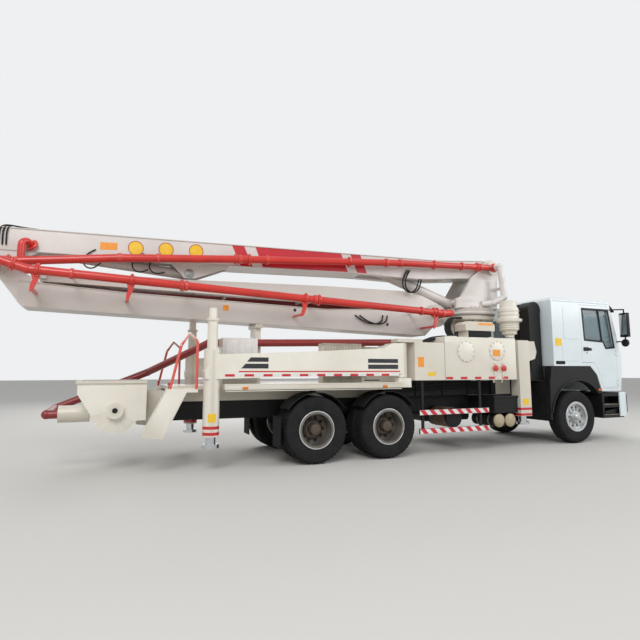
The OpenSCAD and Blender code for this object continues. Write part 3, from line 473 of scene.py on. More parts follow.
for finish, names in NODE_FINISH.items():
    for node_name in sorted({n.replace("*", side) for n in names.split() for side, _ in SIDES}):
        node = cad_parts[node_name]
        if node.material_slots:
            for slot in node.material_slots:
                slot.material = finish
        else:
            node.data.materials.append(finish)


# ---- tyres and wheels

def tyre(x, y, flip):
    """A radial tyre: a closed superellipse section turned about the axle, with tread cut in.

    The section's height and width follow the sine and the cosine of its angle, raised to 0.42 and
    0.55, so that tread and sidewalls square off. Below the middle it narrows by up to 12 %. Grooves
    run round the middle and between the shoulders' blocks, and the sidewall carries a fine ring.
    """
    around, points = 300, 64
    groove, blocks, skew, bead = 0.013, 50, 1.05, 0.0025
    t = turn_angles(points)
    inner, outer = RIM_R - 0.022, TYRE_R
    mid, b, a = (inner + outer) / 2, (outer - inner) / 2, TYRE_W / 2
    r = mid + b * signed_power(np.sin(t), 0.42)
    w = a * signed_power(np.cos(t), 0.55)
    w *= 1 - 0.12 * np.clip((mid - r) / b, 0, 1)
    tt = turn_angles(around)[:, None]
    rr = np.broadcast_to(r, (around, points)).copy()
    ww = np.broadcast_to(w, (around, points))
    tread = rr > TYRE_R - 0.03
    cross = np.mod(tt * blocks / TAU + skew * ww / a, 1) < 0.3
    cross = cross & (np.abs(ww) > 0.055)
    ring = (np.abs(np.abs(ww) - 0.048) < 0.008) | (np.abs(ww) < 0.006)
    rr -= np.where(tread & (cross | ring), groove, 0.0)
    rr += bead * np.exp(-((rr - 0.36) / 0.004) ** 2)
    p = np.stack([x + rr * np.cos(tt), y + flip * ww, TYRE_R + rr * np.sin(tt)], -1)
    return p.reshape(-1, 3), grid_faces(around, points, True, True)


def lug_nuts(x, y, circle, size, s):
    """Ten hexagonal nuts with a stud's end, on a circle about the axle."""
    profile = [(0, 0), (size, 0), (size, size * 1.1), (size * 0.8, size * 1.3),
               (size * 0.45, size * 1.3), (size * 0.45, size * 1.9), (0, size * 1.9)]
    return [turned(profile, (u, y, v), s, 6) for u, v in arc(x, TYRE_R, circle, 0, 324, 10)]


def rim_lips(x, y):
    """The two rolled flange lips of a rim: small rounds turned about the axle."""
    a = turn_angles(12)
    return [revolve(np.stack([RIM_R - 0.004 + 0.011 * np.cos(a),
                              s * (TYRE_W / 2 - 0.018) + 0.011 * np.sin(a)], -1),
                    (x, y, TYRE_R), "y", 96, closed=True) for s in (-1, 1)]


def rear_hub(x, s):
    """A cast hub with ten lobes, deep in the outer rim's dish.

    The radius swells and shrinks with the cosine of ten times the angle, by 5 % at the rim and by
    3 % inside it.
    """
    steps = 120
    profile = [(0.0, 0.21), (0.06, 0.21), (0.085, 0.20), (0.10, 0.17), (0.104, 0.06),
               (0.165, 0.045), (0.172, 0.02), (0.165, 0.0), (0.0, 0.0)]
    p, f = turned(profile, (x, s * (REAR_Y + 0.06), TYRE_R), s, steps)
    t = np.repeat(turn_angles(steps), len(profile))
    r = np.hypot(p[:, 0] - x, p[:, 2] - TYRE_R)
    grow = 1 + np.where(r > 0.15, 0.05, 0.03) * np.cos(10 * t)
    p[:, 0] = x + (p[:, 0] - x) * grow
    p[:, 2] = TYRE_R + (p[:, 2] - TYRE_R) * grow
    return p, f


def wheels():
    """Every wheel's tyre, which stands for the CAD's plain one, with rim lips, hub and nuts."""
    for side, s in SIDES:
        y, body = s * FRONT_Y, f"front_wheel_{side}"
        rubber = piece(f"tread_front_{side}", [tyre(FRONT_X, y, s)], RUBBER, body)
        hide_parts(f"tyre_front_{side}")
        piece(f"rim_lips_front_{side}", rim_lips(FRONT_X, y), RIM_SILVER, body)
        cap = turned([(0, 0.16), (0.05, 0.155), (0.075, 0.13), (0.085, 0.06), (0.125, 0.055),
                      (0.13, 0.03), (0, 0.03)], (FRONT_X, y + s * 0.03, TYRE_R), s, 64)
        piece(f"hub_cap_front_{side}", [cap], RIM_SILVER, body)
        piece(f"nuts_front_{side}", lug_nuts(FRONT_X, y + s * 0.071, 0.1425, 0.016, s), ZINC,
              body, smooth=False)
        for axle, x in zip(("mid", "rear"), REAR_XS):
            body = f"{axle}_wheels_{side}"
            pair = [s * (REAR_Y + k * TWIN) for k in (-1, 1)]
            rubber = piece(f"tread_{axle}_{side}", [tyre(x, v, s) for v in pair], RUBBER, body)
            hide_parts(f"tyres_{axle}_{side}")
            piece(f"rim_lips_{axle}_{side}", [q for v in pair for q in rim_lips(x, v)],
                  RIM_SILVER, body)
            piece(f"hub_{axle}_{side}", [rear_hub(x, s)], CAST_IRON, body)
            piece(f"nuts_{axle}_{side}", lug_nuts(x, s * (REAR_Y + 0.074), 0.2, 0.017, s),
                  CAST_IRON, body, smooth=False)


# ---- boom

def boom_1_top(x):
    """Height of the first section's top plate at x."""
    return float(np.interp(x, [-5.51, 2.45, 3.86], [3.69, 3.85, 3.955]))


def boom_1_low(x):
    """Height of the first section's lower edge at x."""
    return float(np.interp(x, [-5.51, -1.81, 0.69, 1.94, 3.38], [3.335, 3.37, 3.43, 3.41, 3.53]))


def slanted(x0, x1, lean, y):
    """A band of tape on the first section's side that leans back by `lean` toward its foot."""
    xs = np.linspace(x0, x1, 9)
    upper = [(x, boom_1_top(x) - 0.004) for x in xs]
    lower = [(x + lean, boom_1_low(x + lean) + 0.004) for x in xs]
    return decal(lower + upper[::-1], y, 0.0015)


def flange(path, y0, y1, thick):
    """A plate's edge along a path in x and z: the path given a thickness, drawn from y0 to y1."""
    p = np.array(path, float)
    d = unit(np.gradient(p, axis=0))
    n = np.stack([-d[:, 1], d[:, 0]], -1)
    return plate(np.concatenate([p, (p + n * thick)[::-1]]).tolist(), y0, y1)


def coupling(p, q, t, spread=0.03):
    """A two-bolt clamp coupling about a pipe from p to q, at share t: two raised rings."""
    p, q = np.array(p, float), np.array(q, float)
    u = unit(q - p)
    c = p + t * (q - p)
    h = np.array([-1, -0.85, -0.6, -0.35, 0.0, 0.35, 0.6, 0.85, 1]) * spread
    r = PIPE_R + np.array([0.001, 0.018, 0.024, 0.018, 0.013, 0.018, 0.024, 0.018, 0.001])
    body = tube(c + np.outer(h, u), r, 28)
    across = np.array([1.0, 0, 0] if abs(u[1]) > 0.9 else [0, 1.0, 0])
    up = unit(np.cross(u, across)) * (PIPE_R + 0.02)
    return [body] + [tube([a - 0.035 * across, a, a + 0.035 * across], 0.014, 8)
                     for a in (c - up, c + up)]


def sleeve(p, q, t):
    """A painted strap about a pipe's clamp: a ring a little wider and thicker than the clamp."""
    p, q = np.array(p, float), np.array(q, float)
    u = unit(q - p)
    h = np.array([-1, -0.96, -0.8, 0.8, 0.96, 1]) * 0.0252
    r = np.array([0.067, 0.0815, 0.0835, 0.0835, 0.0815, 0.067])
    return tube(p + t * (q - p) + np.outer(h, u), r, 28)


RUN_1 = [(3.5, -0.43, 3.76), (1.47, -0.43, 3.68), (-1.81, -0.43, 3.47), (-3.77, -0.43, 3.32),
         (-5.45, -0.43, 3.12)]
RUN_2 = [(-5.0, -0.72, 2.985), (2.25, -0.72, 2.66)]
RUN_3 = [(2.15, 0.36, 2.83), (-4.5, 0.36, 2.865)]
RUN_4 = [(-4.5, 0.55, 3.01), (1.65, 0.55, 3.0)]
# Each section's pipe: its paint, run, and the (span, share of the span) of its clamps and straps
PIPES = {
    1: (PIPE_RED, RUN_1, [(0, 0.6), (1, 0.35), (2, 0.04), (0, 0.05), (1, 0.95)],
        [(0, 0.25), (1, 0.1), (1, 0.85), (2, 0.7), (3, 0.93)]),
    2: (PIPE_RED, RUN_2, [(0, 0.02), (0, 0.3), (0, 0.63), (0, 0.97)],
        [(0, 0.08), (0, 0.31), (0, 0.62), (0, 0.93)]),
    # Pipes 3 and 4 take the pipe red darkened as painted shade, as they lie in shadow
    3: (PAINTED_SHADE_RED, RUN_3, [(0, 0.03), (0, 0.36), (0, 0.7), (0, 0.98)],
        [(0, 0.15), (0, 0.4), (0, 0.62)]),
    4: (PAINTED_SHADE_RED, RUN_4, [(0, 0.03), (0, 0.5), (0, 0.97)], [(0, 0.1), (0, 0.45), (0, 0.85)]),
}


def flanges(half, runs):
    """The edges of a section's plates on both sides, from runs of (path, width, thickness)."""
    return [flange(path, s * (half - 0.01), s * (half + wide), thick)
            for path, wide, thick in runs for s in (-1, 1)]


def boom():
    """Flanges, stripes, couplings, straps and labels of the boom sections."""
    xs = np.linspace(-5.5, 3.7, 24)
    piece("boom_1_flanges",
          flanges(BOOM_1_Y, [([(x, boom_1_top(x) - 0.012) for x in xs], 0.014, 0.014),
                             ([(x, boom_1_low(x)) for x in xs[:-1]], 0.012, 0.012)]),
          BOOM_WHITE, "boom_1")
    top_2 = [(-5.18, 2.878), (-4.56, 2.838), (-3.74, 2.788), (-0.08, 2.678), (2.1, 2.79)]
    low_2 = [(-5.11, 2.49), (-1.8, 2.37), (1.43, 2.26), (2.14, 2.24)]
    piece("boom_2_flanges", flanges(BOOM_2_Y, [(top_2, 0.013, 0.012), (low_2, 0.012, 0.012)]),
          BOOM_WHITE, "boom_2")
    piece("boom_1_stripes",
          [slanted(a, b, lean, s * BOOM_1_Y) for s in (-1, 1) for a, b, lean in
           ((-1.93, -1.71, 0.17), (-1.5, 0.22, 0.15), (0.42, 0.64, 0.15))],
          TAPE_RED, "boom_1", slot="pipe_red")
    for k, (paint, run, clamps, straps) in PIPES.items():
        piece(f"couplings_{k}", [c for i, t in clamps for c in coupling(run[i], run[i + 1], t)],
              paint, f"boom_{k}")
        piece(f"pipe_{k}_straps", [sleeve(run[i], run[i + 1], t) for i, t in straps], paint,
              f"boom_{k}")
    stub = tube(smooth_path([(-5.03, -0.31, 3.44), (-5.08, -0.38, 3.475), (-5.13, -0.425, 3.44),
                             (-5.14, -0.43, 3.34), (-5.14, -0.43, 3.18)], 8), 0.052, 24)
    ends = coupling((-5.0, -0.27, 3.42), (-5.045, -0.33, 3.452), 0.5, 0.022)
    piece("tail_stub_elbow", [stub] + ends + coupling(*RUN_1[3:], 0.9), PIPE_RED, "boom_1")
    piece("tail_pipe_coupling", coupling((-5.45, -0.72, 3.12), RUN_2[0], 0.6), PIPE_RED, "boom_2")
    # Thin black discs on the second section's side paint the shade inside its lifting holes
    holes = [revolve([(0, -0.0022), (0.028, -0.0022), (0.032, 0.001), (0, 0.001)],
                     (x, -BOOM_2_Y, z), "y", 24) for x, z in ((-0.72, 2.64), (1.25, 2.44))]
    piece("boom_2_lifting_hole_shade", holes, BLACK_VINYL_AND_HOLE_SHADE, "boom_2")
    piece("boom_label_orange",
          [decal([(-4.07, 3.465), (-3.81, 3.48), (-3.81, 3.6), (-4.07, 3.59)], -BOOM_1_Y, 0.001)],
          VINYL_ORANGE, "boom_1")
    discs = [(-3.53, 3.54), (-3.05, 3.56), (-2.55, 3.58)]
    piece("boom_discs", [decal(arc(x, z, 0.115, 0, 345, 24), s * BOOM_1_Y, 0.0015)
                         for s in (-1, 1) for x, z in discs], VINYL_YELLOW, "boom_1")
    ring = np.array(arc(0, 0, 0.123, 0, 345, 24))
    section = ((1, 0), (1, 0.002), (0.9, 0.0025), (0.9, 0))
    rings = [(np.array([(x + k * a, s * (BOOM_1_Y + h), z + k * b)
                        for a, b in ring for k, h in section]), grid_faces(24, 4, True, True))
             for s in (-1, 1) for x, z in discs]
    piece("boom_disc_rims", rings, LAMP_RED, "boom_1")
    piece("boom_2_label", [decal(rect(-2.06, -1.96, 2.57, 2.67), s * BOOM_2_Y, 0.001)
                           for s in (-1, 1)], VINYL_ORANGE, "boom_2")


# ---- bodywork, outriggers and deck

def dashes(x0, x1, z0, z1, y, pitch):
    """Red dashes of tape along a plate's edge, one every `pitch`."""
    return [decal(rect(x, x + DASH, z0, z1), y, 0.0024) for x in np.arange(x0, x1 - DASH, pitch)]


def outriggers():
    """Bands, labels and louvre stripes of the outriggers on both sides."""
    for side, s in SIDES:
        y, arm, beam = s * ARM_Y, f"rear_arm_{side}", f"front_beam_{side}"
        louvres = [[(-1.80, 1.725), (-1.51, 1.725), (-1.51, 1.655), (-1.86, 1.655)],
                   [(-1.88, 1.625), (-1.51, 1.625), (-1.51, 1.55), (-1.95, 1.55)],
                   rect(0.28, 0.88, 1.65, 1.72), rect(0.28, 0.88, 1.545, 1.62)]
        piece(f"arm_louvre_stripes_{side}", [decal(o, y, 0.0015) for o in louvres], BLACK_VINYL_AND_HOLE_SHADE,
              arm)
        line = [(-2.0, 1.492), (0.92, 1.492), (0.92, 1.512), (-1.98, 1.512)]
        piece(f"arm_red_line_{side}", [decal(line, y, 0.0015)], TAPE_RED, arm)
        tape = (-2.2, 0.9, 1.425, 1.462)
        piece(f"arm_tape_red_{side}", dashes(*tape, y, 0.305), TAPE_RED, arm)
        piece(f"arm_tape_white_{side}", [decal(rect(*tape), y)], TAPE_WHITE, arm)
        x, y = REAR_LEG[0], s * REAR_LEG[1]
        skin, over = 0.1248, 0.1262
        piece(f"rear_leg_bands_{side}",
              [revolve(rect(skin, over, z, z + 0.045), (x, y, 0), "z", 64, True)
               for z in (0.545, 0.635)], TAPE_RED, arm)
        turn = np.linspace(-0.55, 0.45, 16) + s * math.pi / 2
        wrap = np.stack([np.stack([x + r * np.cos(turn), y + r * np.sin(turn), np.full(16, z)], -1)
                         for r, z in ((skin, 0.74), (skin, 0.87), (over, 0.87), (over, 0.74))], 1)
        piece(f"rear_leg_label_{side}", [(wrap.reshape(-1, 3), capped(16, 4))], VINYL_YELLOW, arm)
        x = FRONT_LEG_X[side]
        piece(f"front_leg_bands_{side}",
              [plate(rect(x - 0.142, x + 0.142, z, z + 0.045), s * 1.0085, s * 1.2415)
               for z in (0.63, 0.74)], TAPE_RED, beam)
        piece(f"front_leg_label_{side}", [decal(rect(x - 0.08, x + 0.07, 0.84, 0.96), s * 1.24)],
              VINYL_YELLOW, beam)


def side_boxes():
    """Lids, labels, seams and tape on the side tanks, and the panels and guard tape below."""
    for side, s in SIDES:
        y = s * TANK_Y
        lids = []
        for x, z, r in ((2.37, 1.88, 0.2), (3.12, 1.9, 0.19)):
            lids.append(turned([(0, 0.016), (r * 0.86, 0.016), (r * 0.9, 0.012), (r, 0.012),
                                (r, -0.002), (0, -0.002)], (x, y, z), s, 64))
            lids += [turned([(0, 0.024), (0.011, 0.022), (0.012, 0), (0, 0)],
                            (u, y + s * 0.008, v), s, 6)
                     for u, v in arc(x, z, 0.93 * r, 0, 330, 12)]
        piece(f"tank_lids_{side}", lids, CREAM)
        piece(f"tank_labels_{side}", [decal(rect(3.0, 3.18, 1.79, 1.92), y + s * 0.016, 0.002),
                                      decal(rect(1.29, 1.42, 1.58, 1.76), y)], VINYL_ORANGE)
        panel = [box_with(0.95, 3.6, 0.6205, 0.6245, 1.03, 1.333, s)]
        panel += [box_with(x, x + 0.035, 0.6245, 0.648, 1.03, 1.333, s)
                  for x in (1.0, 1.62, 2.24, 2.86, 3.45)]
        panel += [tube(smooth_path([(1.02, s * 0.66, z), (1.7, s * 0.662, z - 0.03),
                                    (2.6, s * 0.66, z + 0.012), (3.4, s * 0.662, z)], 8),
                       0.014, 10) for z in (1.27, 1.21, 1.15)]
        piece(f"underdeck_panel_{side}", panel, CHASSIS, bevel=0.002)
        piece(f"tank_seam_{side}", [decal(rect(1.877, 1.883, 1.345, 2.15), y, 0.001)], CHASSIS,
              slot=None)
        piece(f"tank_label_yellow_{side}", [decal(rect(1.5, 1.67, 1.42, 1.49), y)], VINYL_YELLOW)
        piece(f"tank_tape_red_{side}", dashes(1.9, 3.58, 1.355, 1.4, y, 0.33), TAPE_RED)
        x0, x1, rails = 1.31, 2.87, (0.39, 0.72)
        piece(f"guard_strips_{side}", [decal(rect(x0, x1, z + 0.001, z + 0.089), s * 1.23, 0.0008)
                                       for z in rails], TAPE_WHITE)
        piece(f"guard_stripes_{side}",
              [decal([(x + 0.08, z + 0.002), (min(x + 0.18, x1), z + 0.002), (x + 0.1, z + 0.088),
                      (x, z + 0.088)], s * 1.2305)
               for z in rails for x in np.arange(x0, 2.8, 0.2)], TAPE_RED)


NOSE_Z = [1.075, 1.50, 1.84, 3.04]
NOSE_X = [6.58, 6.65, 6.66, 6.36]


def nose(z):
    """X of the cab's front face at height z."""
    return float(np.interp(z, NOSE_Z, NOSE_X))


def on_nose(y, z, out):
    """A point on the cab's front face, `out` in front of it."""
    return (nose(z) + out, y, z)


def mirror_case(s):
    """A mirror's case: an upright superellipsoid, whose powers square it off."""
    u, v = np.meshgrid(turn_angles(48), np.linspace(-math.pi / 2, math.pi / 2, 25), indexing="ij")
    across = signed_power(np.cos(v), 0.5)
    p = np.stack([6.612 + 0.045 * across * signed_power(np.cos(u), 0.5),
                  s * (1.385 + 0.102 * across * signed_power(np.sin(u), 0.5)),
                  2.515 + 0.272 * signed_power(np.sin(v), 0.35)], -1)
    return p.reshape(-1, 3), grid_faces(48, 25, True, False)


def cab_side(side, s):
    """Panels, seals, handle, vent, trim, steps and mirrors of one side of the cab and its door."""
    y, door = s * CAB_Y, f"door_{side}"
    back, front = y - s * 0.002, y + s * 0.007
    piece(f"sleeper_panels_{side}", [plate(round_rect(4.95, 5.41, 2.18, 2.87, 0.05), back, front),
                                     plate(round_rect(4.89, 5.40, 1.71, 2.05, 0.04), back, front)],
          CAB_WHITE, "cab", bevel=0.003)
    window = [(5.53, 2.84), (5.56, 2.18), (6.12, 2.15), (6.19, 2.01), (6.44, 2.03), (6.31, 2.84)]
    piece(f"window_seal_{side}", [frame_ring(window, 0.028, 0.012, y - s * 0.008, y + s * 0.005)],
          BLACK_ABS, door, bevel=0.002)
    piece(f"window_bar_{side}",
          [plate([(6.015, 2.84), (6.045, 2.84), (6.115, 2.14), (6.085, 2.14)], y - s * 0.03,
                 y - s * 0.006)], BLACK_ABS, door, bevel=0.003)
    piece(f"door_handle_{side}",
          [plate(round_rect(*box, r), y + s * y0, y + s * y1) for box, r, y0, y1 in
           (((5.50, 5.66, 1.93, 2.015), 0.012, -0.0005, 0.0045),
            ((5.562, 5.758, 1.942, 1.998), 0.01, -0.0118, -0.009),
            ((5.58, 5.74, 1.962, 1.982), 0.008, -0.01, 0.006))]
          + [turned([(0, 0.006), (0.014, 0.005), (0.016, 0), (0, 0)], (5.60, y, 1.89), s, 24)],
          BLACK_ABS, door, bevel=0.002)
    piece(f"door_creases_{side}", [plate(rect(x, 6.485, z, z + 0.012), y - s * 0.001, y + s * 0.005)
                                   for x, z in ((5.92, 1.57), (6.09, 1.16))],
          CAB_WHITE, door, bevel=0.002)
    slats = [plate(rect(4.70, 4.93, z, z + 0.007), back, y + s * 0.008)
             for z in np.arange(1.656, 1.70, 0.0125)]
    surround = plate(round_rect(4.685, 4.945, 1.645, 1.715, 0.01), back, y + s * 0.002)
    piece(f"cab_vent_{side}", slats + [surround], BLACK_ABS, "cab", bevel=0.001)
    piece(f"cab_label_{side}", [decal(rect(4.69, 4.88, 2.03, 2.19), y)], VINYL_YELLOW, "cab")
    rail = [(4.66, s * 1.222, 2.985), (5.5, s * 1.223, 2.99), (6.36, s * 1.222, 2.985)]
    piece(f"drip_rail_{side}", [tube(rail, 0.009, 10)], CAB_WHITE, "cab")
    corner = [(4.628, s * 1.222, z) for z in np.linspace(1.64, 2.98, 12)]
    piece(f"rear_corner_trim_{side}", [tube(corner, 0.011, 10)], CAB_WHITE, "cab")
    lip = arc(FRONT_X, TYRE_R, 0.785, 38, 172, 40) + arc(FRONT_X, TYRE_R, 0.752, 172, 38, 40)
    piece(f"fender_lip_{side}", [plate(lip, s * 1.2, s * 1.236)], BLACK_ABS, bevel=0.006)
    piece(f"side_marker_{side}",
          [plate(round_rect(5.875, 5.945, 1.085, 1.125, 0.012), s * 1.212, s * 1.236)],
          LAMP_AMBER, bevel=0.005)
    treads = []
    for z in (0.5605, 0.7805):
        treads.append(box_with(6.02, 6.54, 1.0, 1.222, z, z + 0.006, s))
        treads += [box_with(x, x + 0.012, 1.0, 1.222, z + 0.006, z + 0.012, s)
                   for x in np.arange(6.03, 6.53, 0.033)]
    piece(f"step_treads_{side}", treads, ALUMINIUM, bevel=0.001, slot="wheel_silver")
    piece(f"mirror_head_{side}", [mirror_case(s)], BLACK_ABS, "cab")
    piece(f"mirror_face_{side}", [box_with(6.5635, 6.5665, 1.305, 1.465, 2.3, 2.74, s)], CHROME,
          "cab", bevel=0.001)
    lower = revolve([(0, -0.025), (0.07, -0.025), (0.085, -0.01), (0.085, 0.015), (0.05, 0.04),
                     (0, 0.045)], (6.6, s * 1.385, 2.12), "x", 40)
    stem = [(6.615, s * 1.38, 2.25), (6.613, s * 1.383, 2.19), (6.61, s * 1.385, 2.14)]
    piece(f"lower_mirror_{side}", [lower, tube(stem, 0.012, 10)], BLACK_ABS, "cab")


def cab_front():
    """Grille, windscreen seal, wipers, visor, bumper skin, lamps and plate of the cab's front."""
    sill, knee, top = 1.16, 1.5, 1.76
    back = [(nose(z) - 0.004, z) for z in (sill, knee, top)]
    grille = [plate(back + [(x + 0.012, z) for x, z in back[::-1]], -0.93, 0.93)]
    grille += [plate([(nose(z), z), (nose(z) + 0.03, z + 0.01),
                      (nose(z + 0.06) + 0.03, z + 0.05), (nose(z + 0.06), z + 0.06)], -0.9, 0.9)
               for z in np.arange(1.19, 1.72, 0.092)]
    piece("grille", grille, BLACK_ABS, "cab", bevel=0.004)
    screen = round_rect(-1.08, 1.08, 1.96, 2.93, 0.05)
    piece("windscreen_seal", [frame_ring(screen, 0.03, 0.014, -0.004, 0.007, on_nose)],
          BLACK_ABS, "cab", bevel=0.002)
    wipers = []
    for y in (-0.62, 0.02, 0.66):
        arm = [on_nose(y + 0.02, 1.92, 0.03), on_nose(y - 0.03, 2.02, 0.045),
               on_nose(y - 0.16, 2.24, 0.04)]
        blade = [on_nose(y - 0.40, 2.16, 0.018), on_nose(y - 0.16, 2.24, 0.02),
                 on_nose(y + 0.08, 2.32, 0.018)]
        wipers += [tube(smooth_path(arm, 6), 0.007, 8), tube(blade, 0.006, 8),
                   revolve([(0, 0.035), (0.018, 0.03), (0.022, -0.01), (0, -0.01)],
                           on_nose(y + 0.02, 1.92, 0.0), "x", 16)]
    piece("wipers", wipers, BLACK_ABS, "cab")
    visor = [(6.405, 3.02), (6.47, 3.0), (6.56, 2.94), (6.63, 2.87), (6.66, 2.83)]
    piece("sun_visor", [flange(visor, -1.13, 1.13, 0.008)]
          + [box_with(6.38, 6.44, y, y + 0.03, 2.96, 3.0, s) for y in (0.3, 0.9) for s in (-1, 1)],
          SMOKED, "cab", bevel=0.002, slot="black_plastic")
    dome = [(0.0, 0.03), (0.03, 0.022), (0.045, 0.0), (0.045, -0.006), (0, -0.006)]
    piece("roof_lamps", [revolve(dome, (6.3, y, 3.062), "z", 24)
                         for y in (-0.9, -0.45, 0.45, 0.9)], LAMP_AMBER, "cab")
    right = [(6.47, -1.236), (6.56, -1.238), (6.66, -1.228), (6.735, -1.19), (6.785, -1.12),
             (6.803, -1.02), (6.806, -0.85)]
    middle = [(6.806, y) for y in np.linspace(-0.7, 0.7, 9)]
    skin = [(0.0, 0.52), (0.014, 0.53), (0.018, 0.60), (0.018, 0.97), (0.013, 1.03), (0.0, 1.04),
            (-0.008, 1.03), (-0.008, 0.53)]
    piece("bumper_skin", [sweep(right + middle + [(x, -y) for x, y in right[::-1]], skin)],
          CAB_WHITE)
    trims, lenses, fogs = [bar(6.815, 6.826, -0.5, 0.5, 0.78, 0.96)], [], []
    lens = [(0, 0.02), (0.045, 0.016), (0.066, 0.006), (0.07, -0.003), (0, -0.003)]
    for s in (-1, 1):
        trims += [box_with(6.815, 6.832, 0.66, 1.0, 0.76, 0.95, s),
                  box_with(6.815, 6.829, 0.68, 0.94, 0.585, 0.68, s)]
        lenses += [revolve(lens, (6.832, s * y, 0.855), "x", 36) for y in (0.75, 0.91)]
        fogs.append(box_with(6.828, 6.838, 0.70, 0.92, 0.60, 0.665, s))
    piece("lamp_bezels", trims, BLACK_ABS, bevel=0.004)
    piece("headlamps", lenses, LAMP_CLEAR)
    piece("fog_lamps", fogs, LAMP_CLEAR, bevel=0.003)
    piece("front_plate", [bar(6.824, 6.828, -0.22, 0.22, 0.60, 0.73)], TAPE_WHITE, bevel=0.001)


def turret_parts():
    """Bolts and flange of the slewing ring, its gussets, and the pre-cleaner's and hood's trim."""
    bolts = [revolve([(0, 0.02), (0.012, 0.02), (0.018, 0.012), (0.018, 0), (0, 0)],
                     (x, y, 2.85), "z", 6) for x, y in arc(COLUMN_X, 0, 0.53, 0, 350, 36)]
    piece("slew_ring_bolts", bolts, ZINC, "turret", smooth=False, slot="boom_white")
    ring = revolve([(0.563, 2.712), (0.592, 2.718), (0.6, 2.735), (0.6, 2.76), (0.592, 2.775),
                    (0.563, 2.78)], (COLUMN_X, 0, 0), "z", 96, True)
    piece("slew_ring_flange", [ring], BOOM_WHITE, "turret")
    lower = revolve([(0.538, 2.60), (0.56, 2.605), (0.566, 2.62), (0.566, 2.655), (0.538, 2.66)],
                    (COLUMN_X, 0, 0), "z", 96, True)
    p, f = plate([(0.415, 2.30), (0.535, 2.59), (0.415, 2.59)], -0.006, 0.006)
    gussets = [(np.stack([p[:, 0] * math.cos(a) - p[:, 1] * math.sin(a) + COLUMN_X,
                          p[:, 0] * math.sin(a) + p[:, 1] * math.cos(a), p[:, 2]], -1), f)
               for a in turn_angles(16)]
    piece("column_gussets", [lower] + gussets, CREAM)
    x, y = PRECLEANER
    beads = [revolve([(r - 0.006, z - 0.016), (r + 0.008, z - 0.012), (r + 0.014, z),
                      (r + 0.008, z + 0.012), (r - 0.006, z + 0.016)], (x, y, 0), "z", 64, True)
             for r, z in ((0.14, 2.28), (0.142, 2.318), (0.185, 2.37), (0.186, 2.41),
                          (0.187, 2.45), (0.187, 2.49), (0.2, 2.66), (0.2, 2.74))]
    piece("precleaner_beads", beads, CREAM)
    band = revolve(rect(0.089, 0.096, 2.18, 2.205), (x, y, 0), "z", 48, True)
    piece("precleaner_clamp", [band, box_with(3.68, 3.70, 0.88, 0.9, 2.18, 2.205, -1)], ZINC)
    piece("hood_label", [decal(rect(2.84, 3.21, 2.41, 2.455), -1.0605)], VINYL_ORANGE)
    grills = [box_with(2.62, 3.16, 1.04, 1.052, z, z + 0.014, -1)
              for z in np.arange(2.165, 2.29, 0.024)]
    piece("hood_grill", [box_with(2.605, 3.175, 1.038, 1.044, 2.16, 2.296, -1)] + grills,
          BLACK_ABS, bevel=0.002)
    piece("turret_elbow_clamp", coupling((3.86, -0.36, 3.77), (3.86, -0.56, 3.77), 0.42),
          PIPE_RED, "boom_1")


def turret_fairing():
    """Cast cheeks of the turret, bulging outward between its flange and the boom's root pin.

    The bulge is 85 mm times the sine of the way across, raised to 0.6. It fades to nothing below
    the root pin and is up to 50 mm deeper at the flange.
    """
    top = 3.62
    heights = np.linspace(2.852, top, 30)
    u = np.linspace(0, 1, 33)
    for side, s in SIDES:
        rows = []
        for z in heights:
            left = np.interp(z, [2.84, 3.04, 3.12, 3.56, 3.77], [2.88, 2.88, 3.04, 3.33, 3.67])
            right = np.interp(z, [2.84, 3.77], [4.0, 4.05])
            fade = np.clip((top - z) / 0.16, 0, 1)
            fade = fade * fade * (3 - 2 * fade)
            flare = 0.05 * np.clip((3.0 - z) / 0.15, 0, 1) ** 2
            depth = (0.085 + flare) * np.sin(np.pi * u) ** 0.6 * fade
            x = left + (right - left) * u
            front = np.stack([x, s * (0.338 + depth), np.full_like(x, z)], -1)
            back = np.stack([x[::-1], np.full_like(x, s * 0.33), np.full_like(x, z)], -1)
            rows.append(np.concatenate([front, back]))
        piece(f"turret_fairing_{side}",
              [(np.concatenate(rows), capped(len(heights), 2 * len(u)))], BOOM_WHITE, "turret")


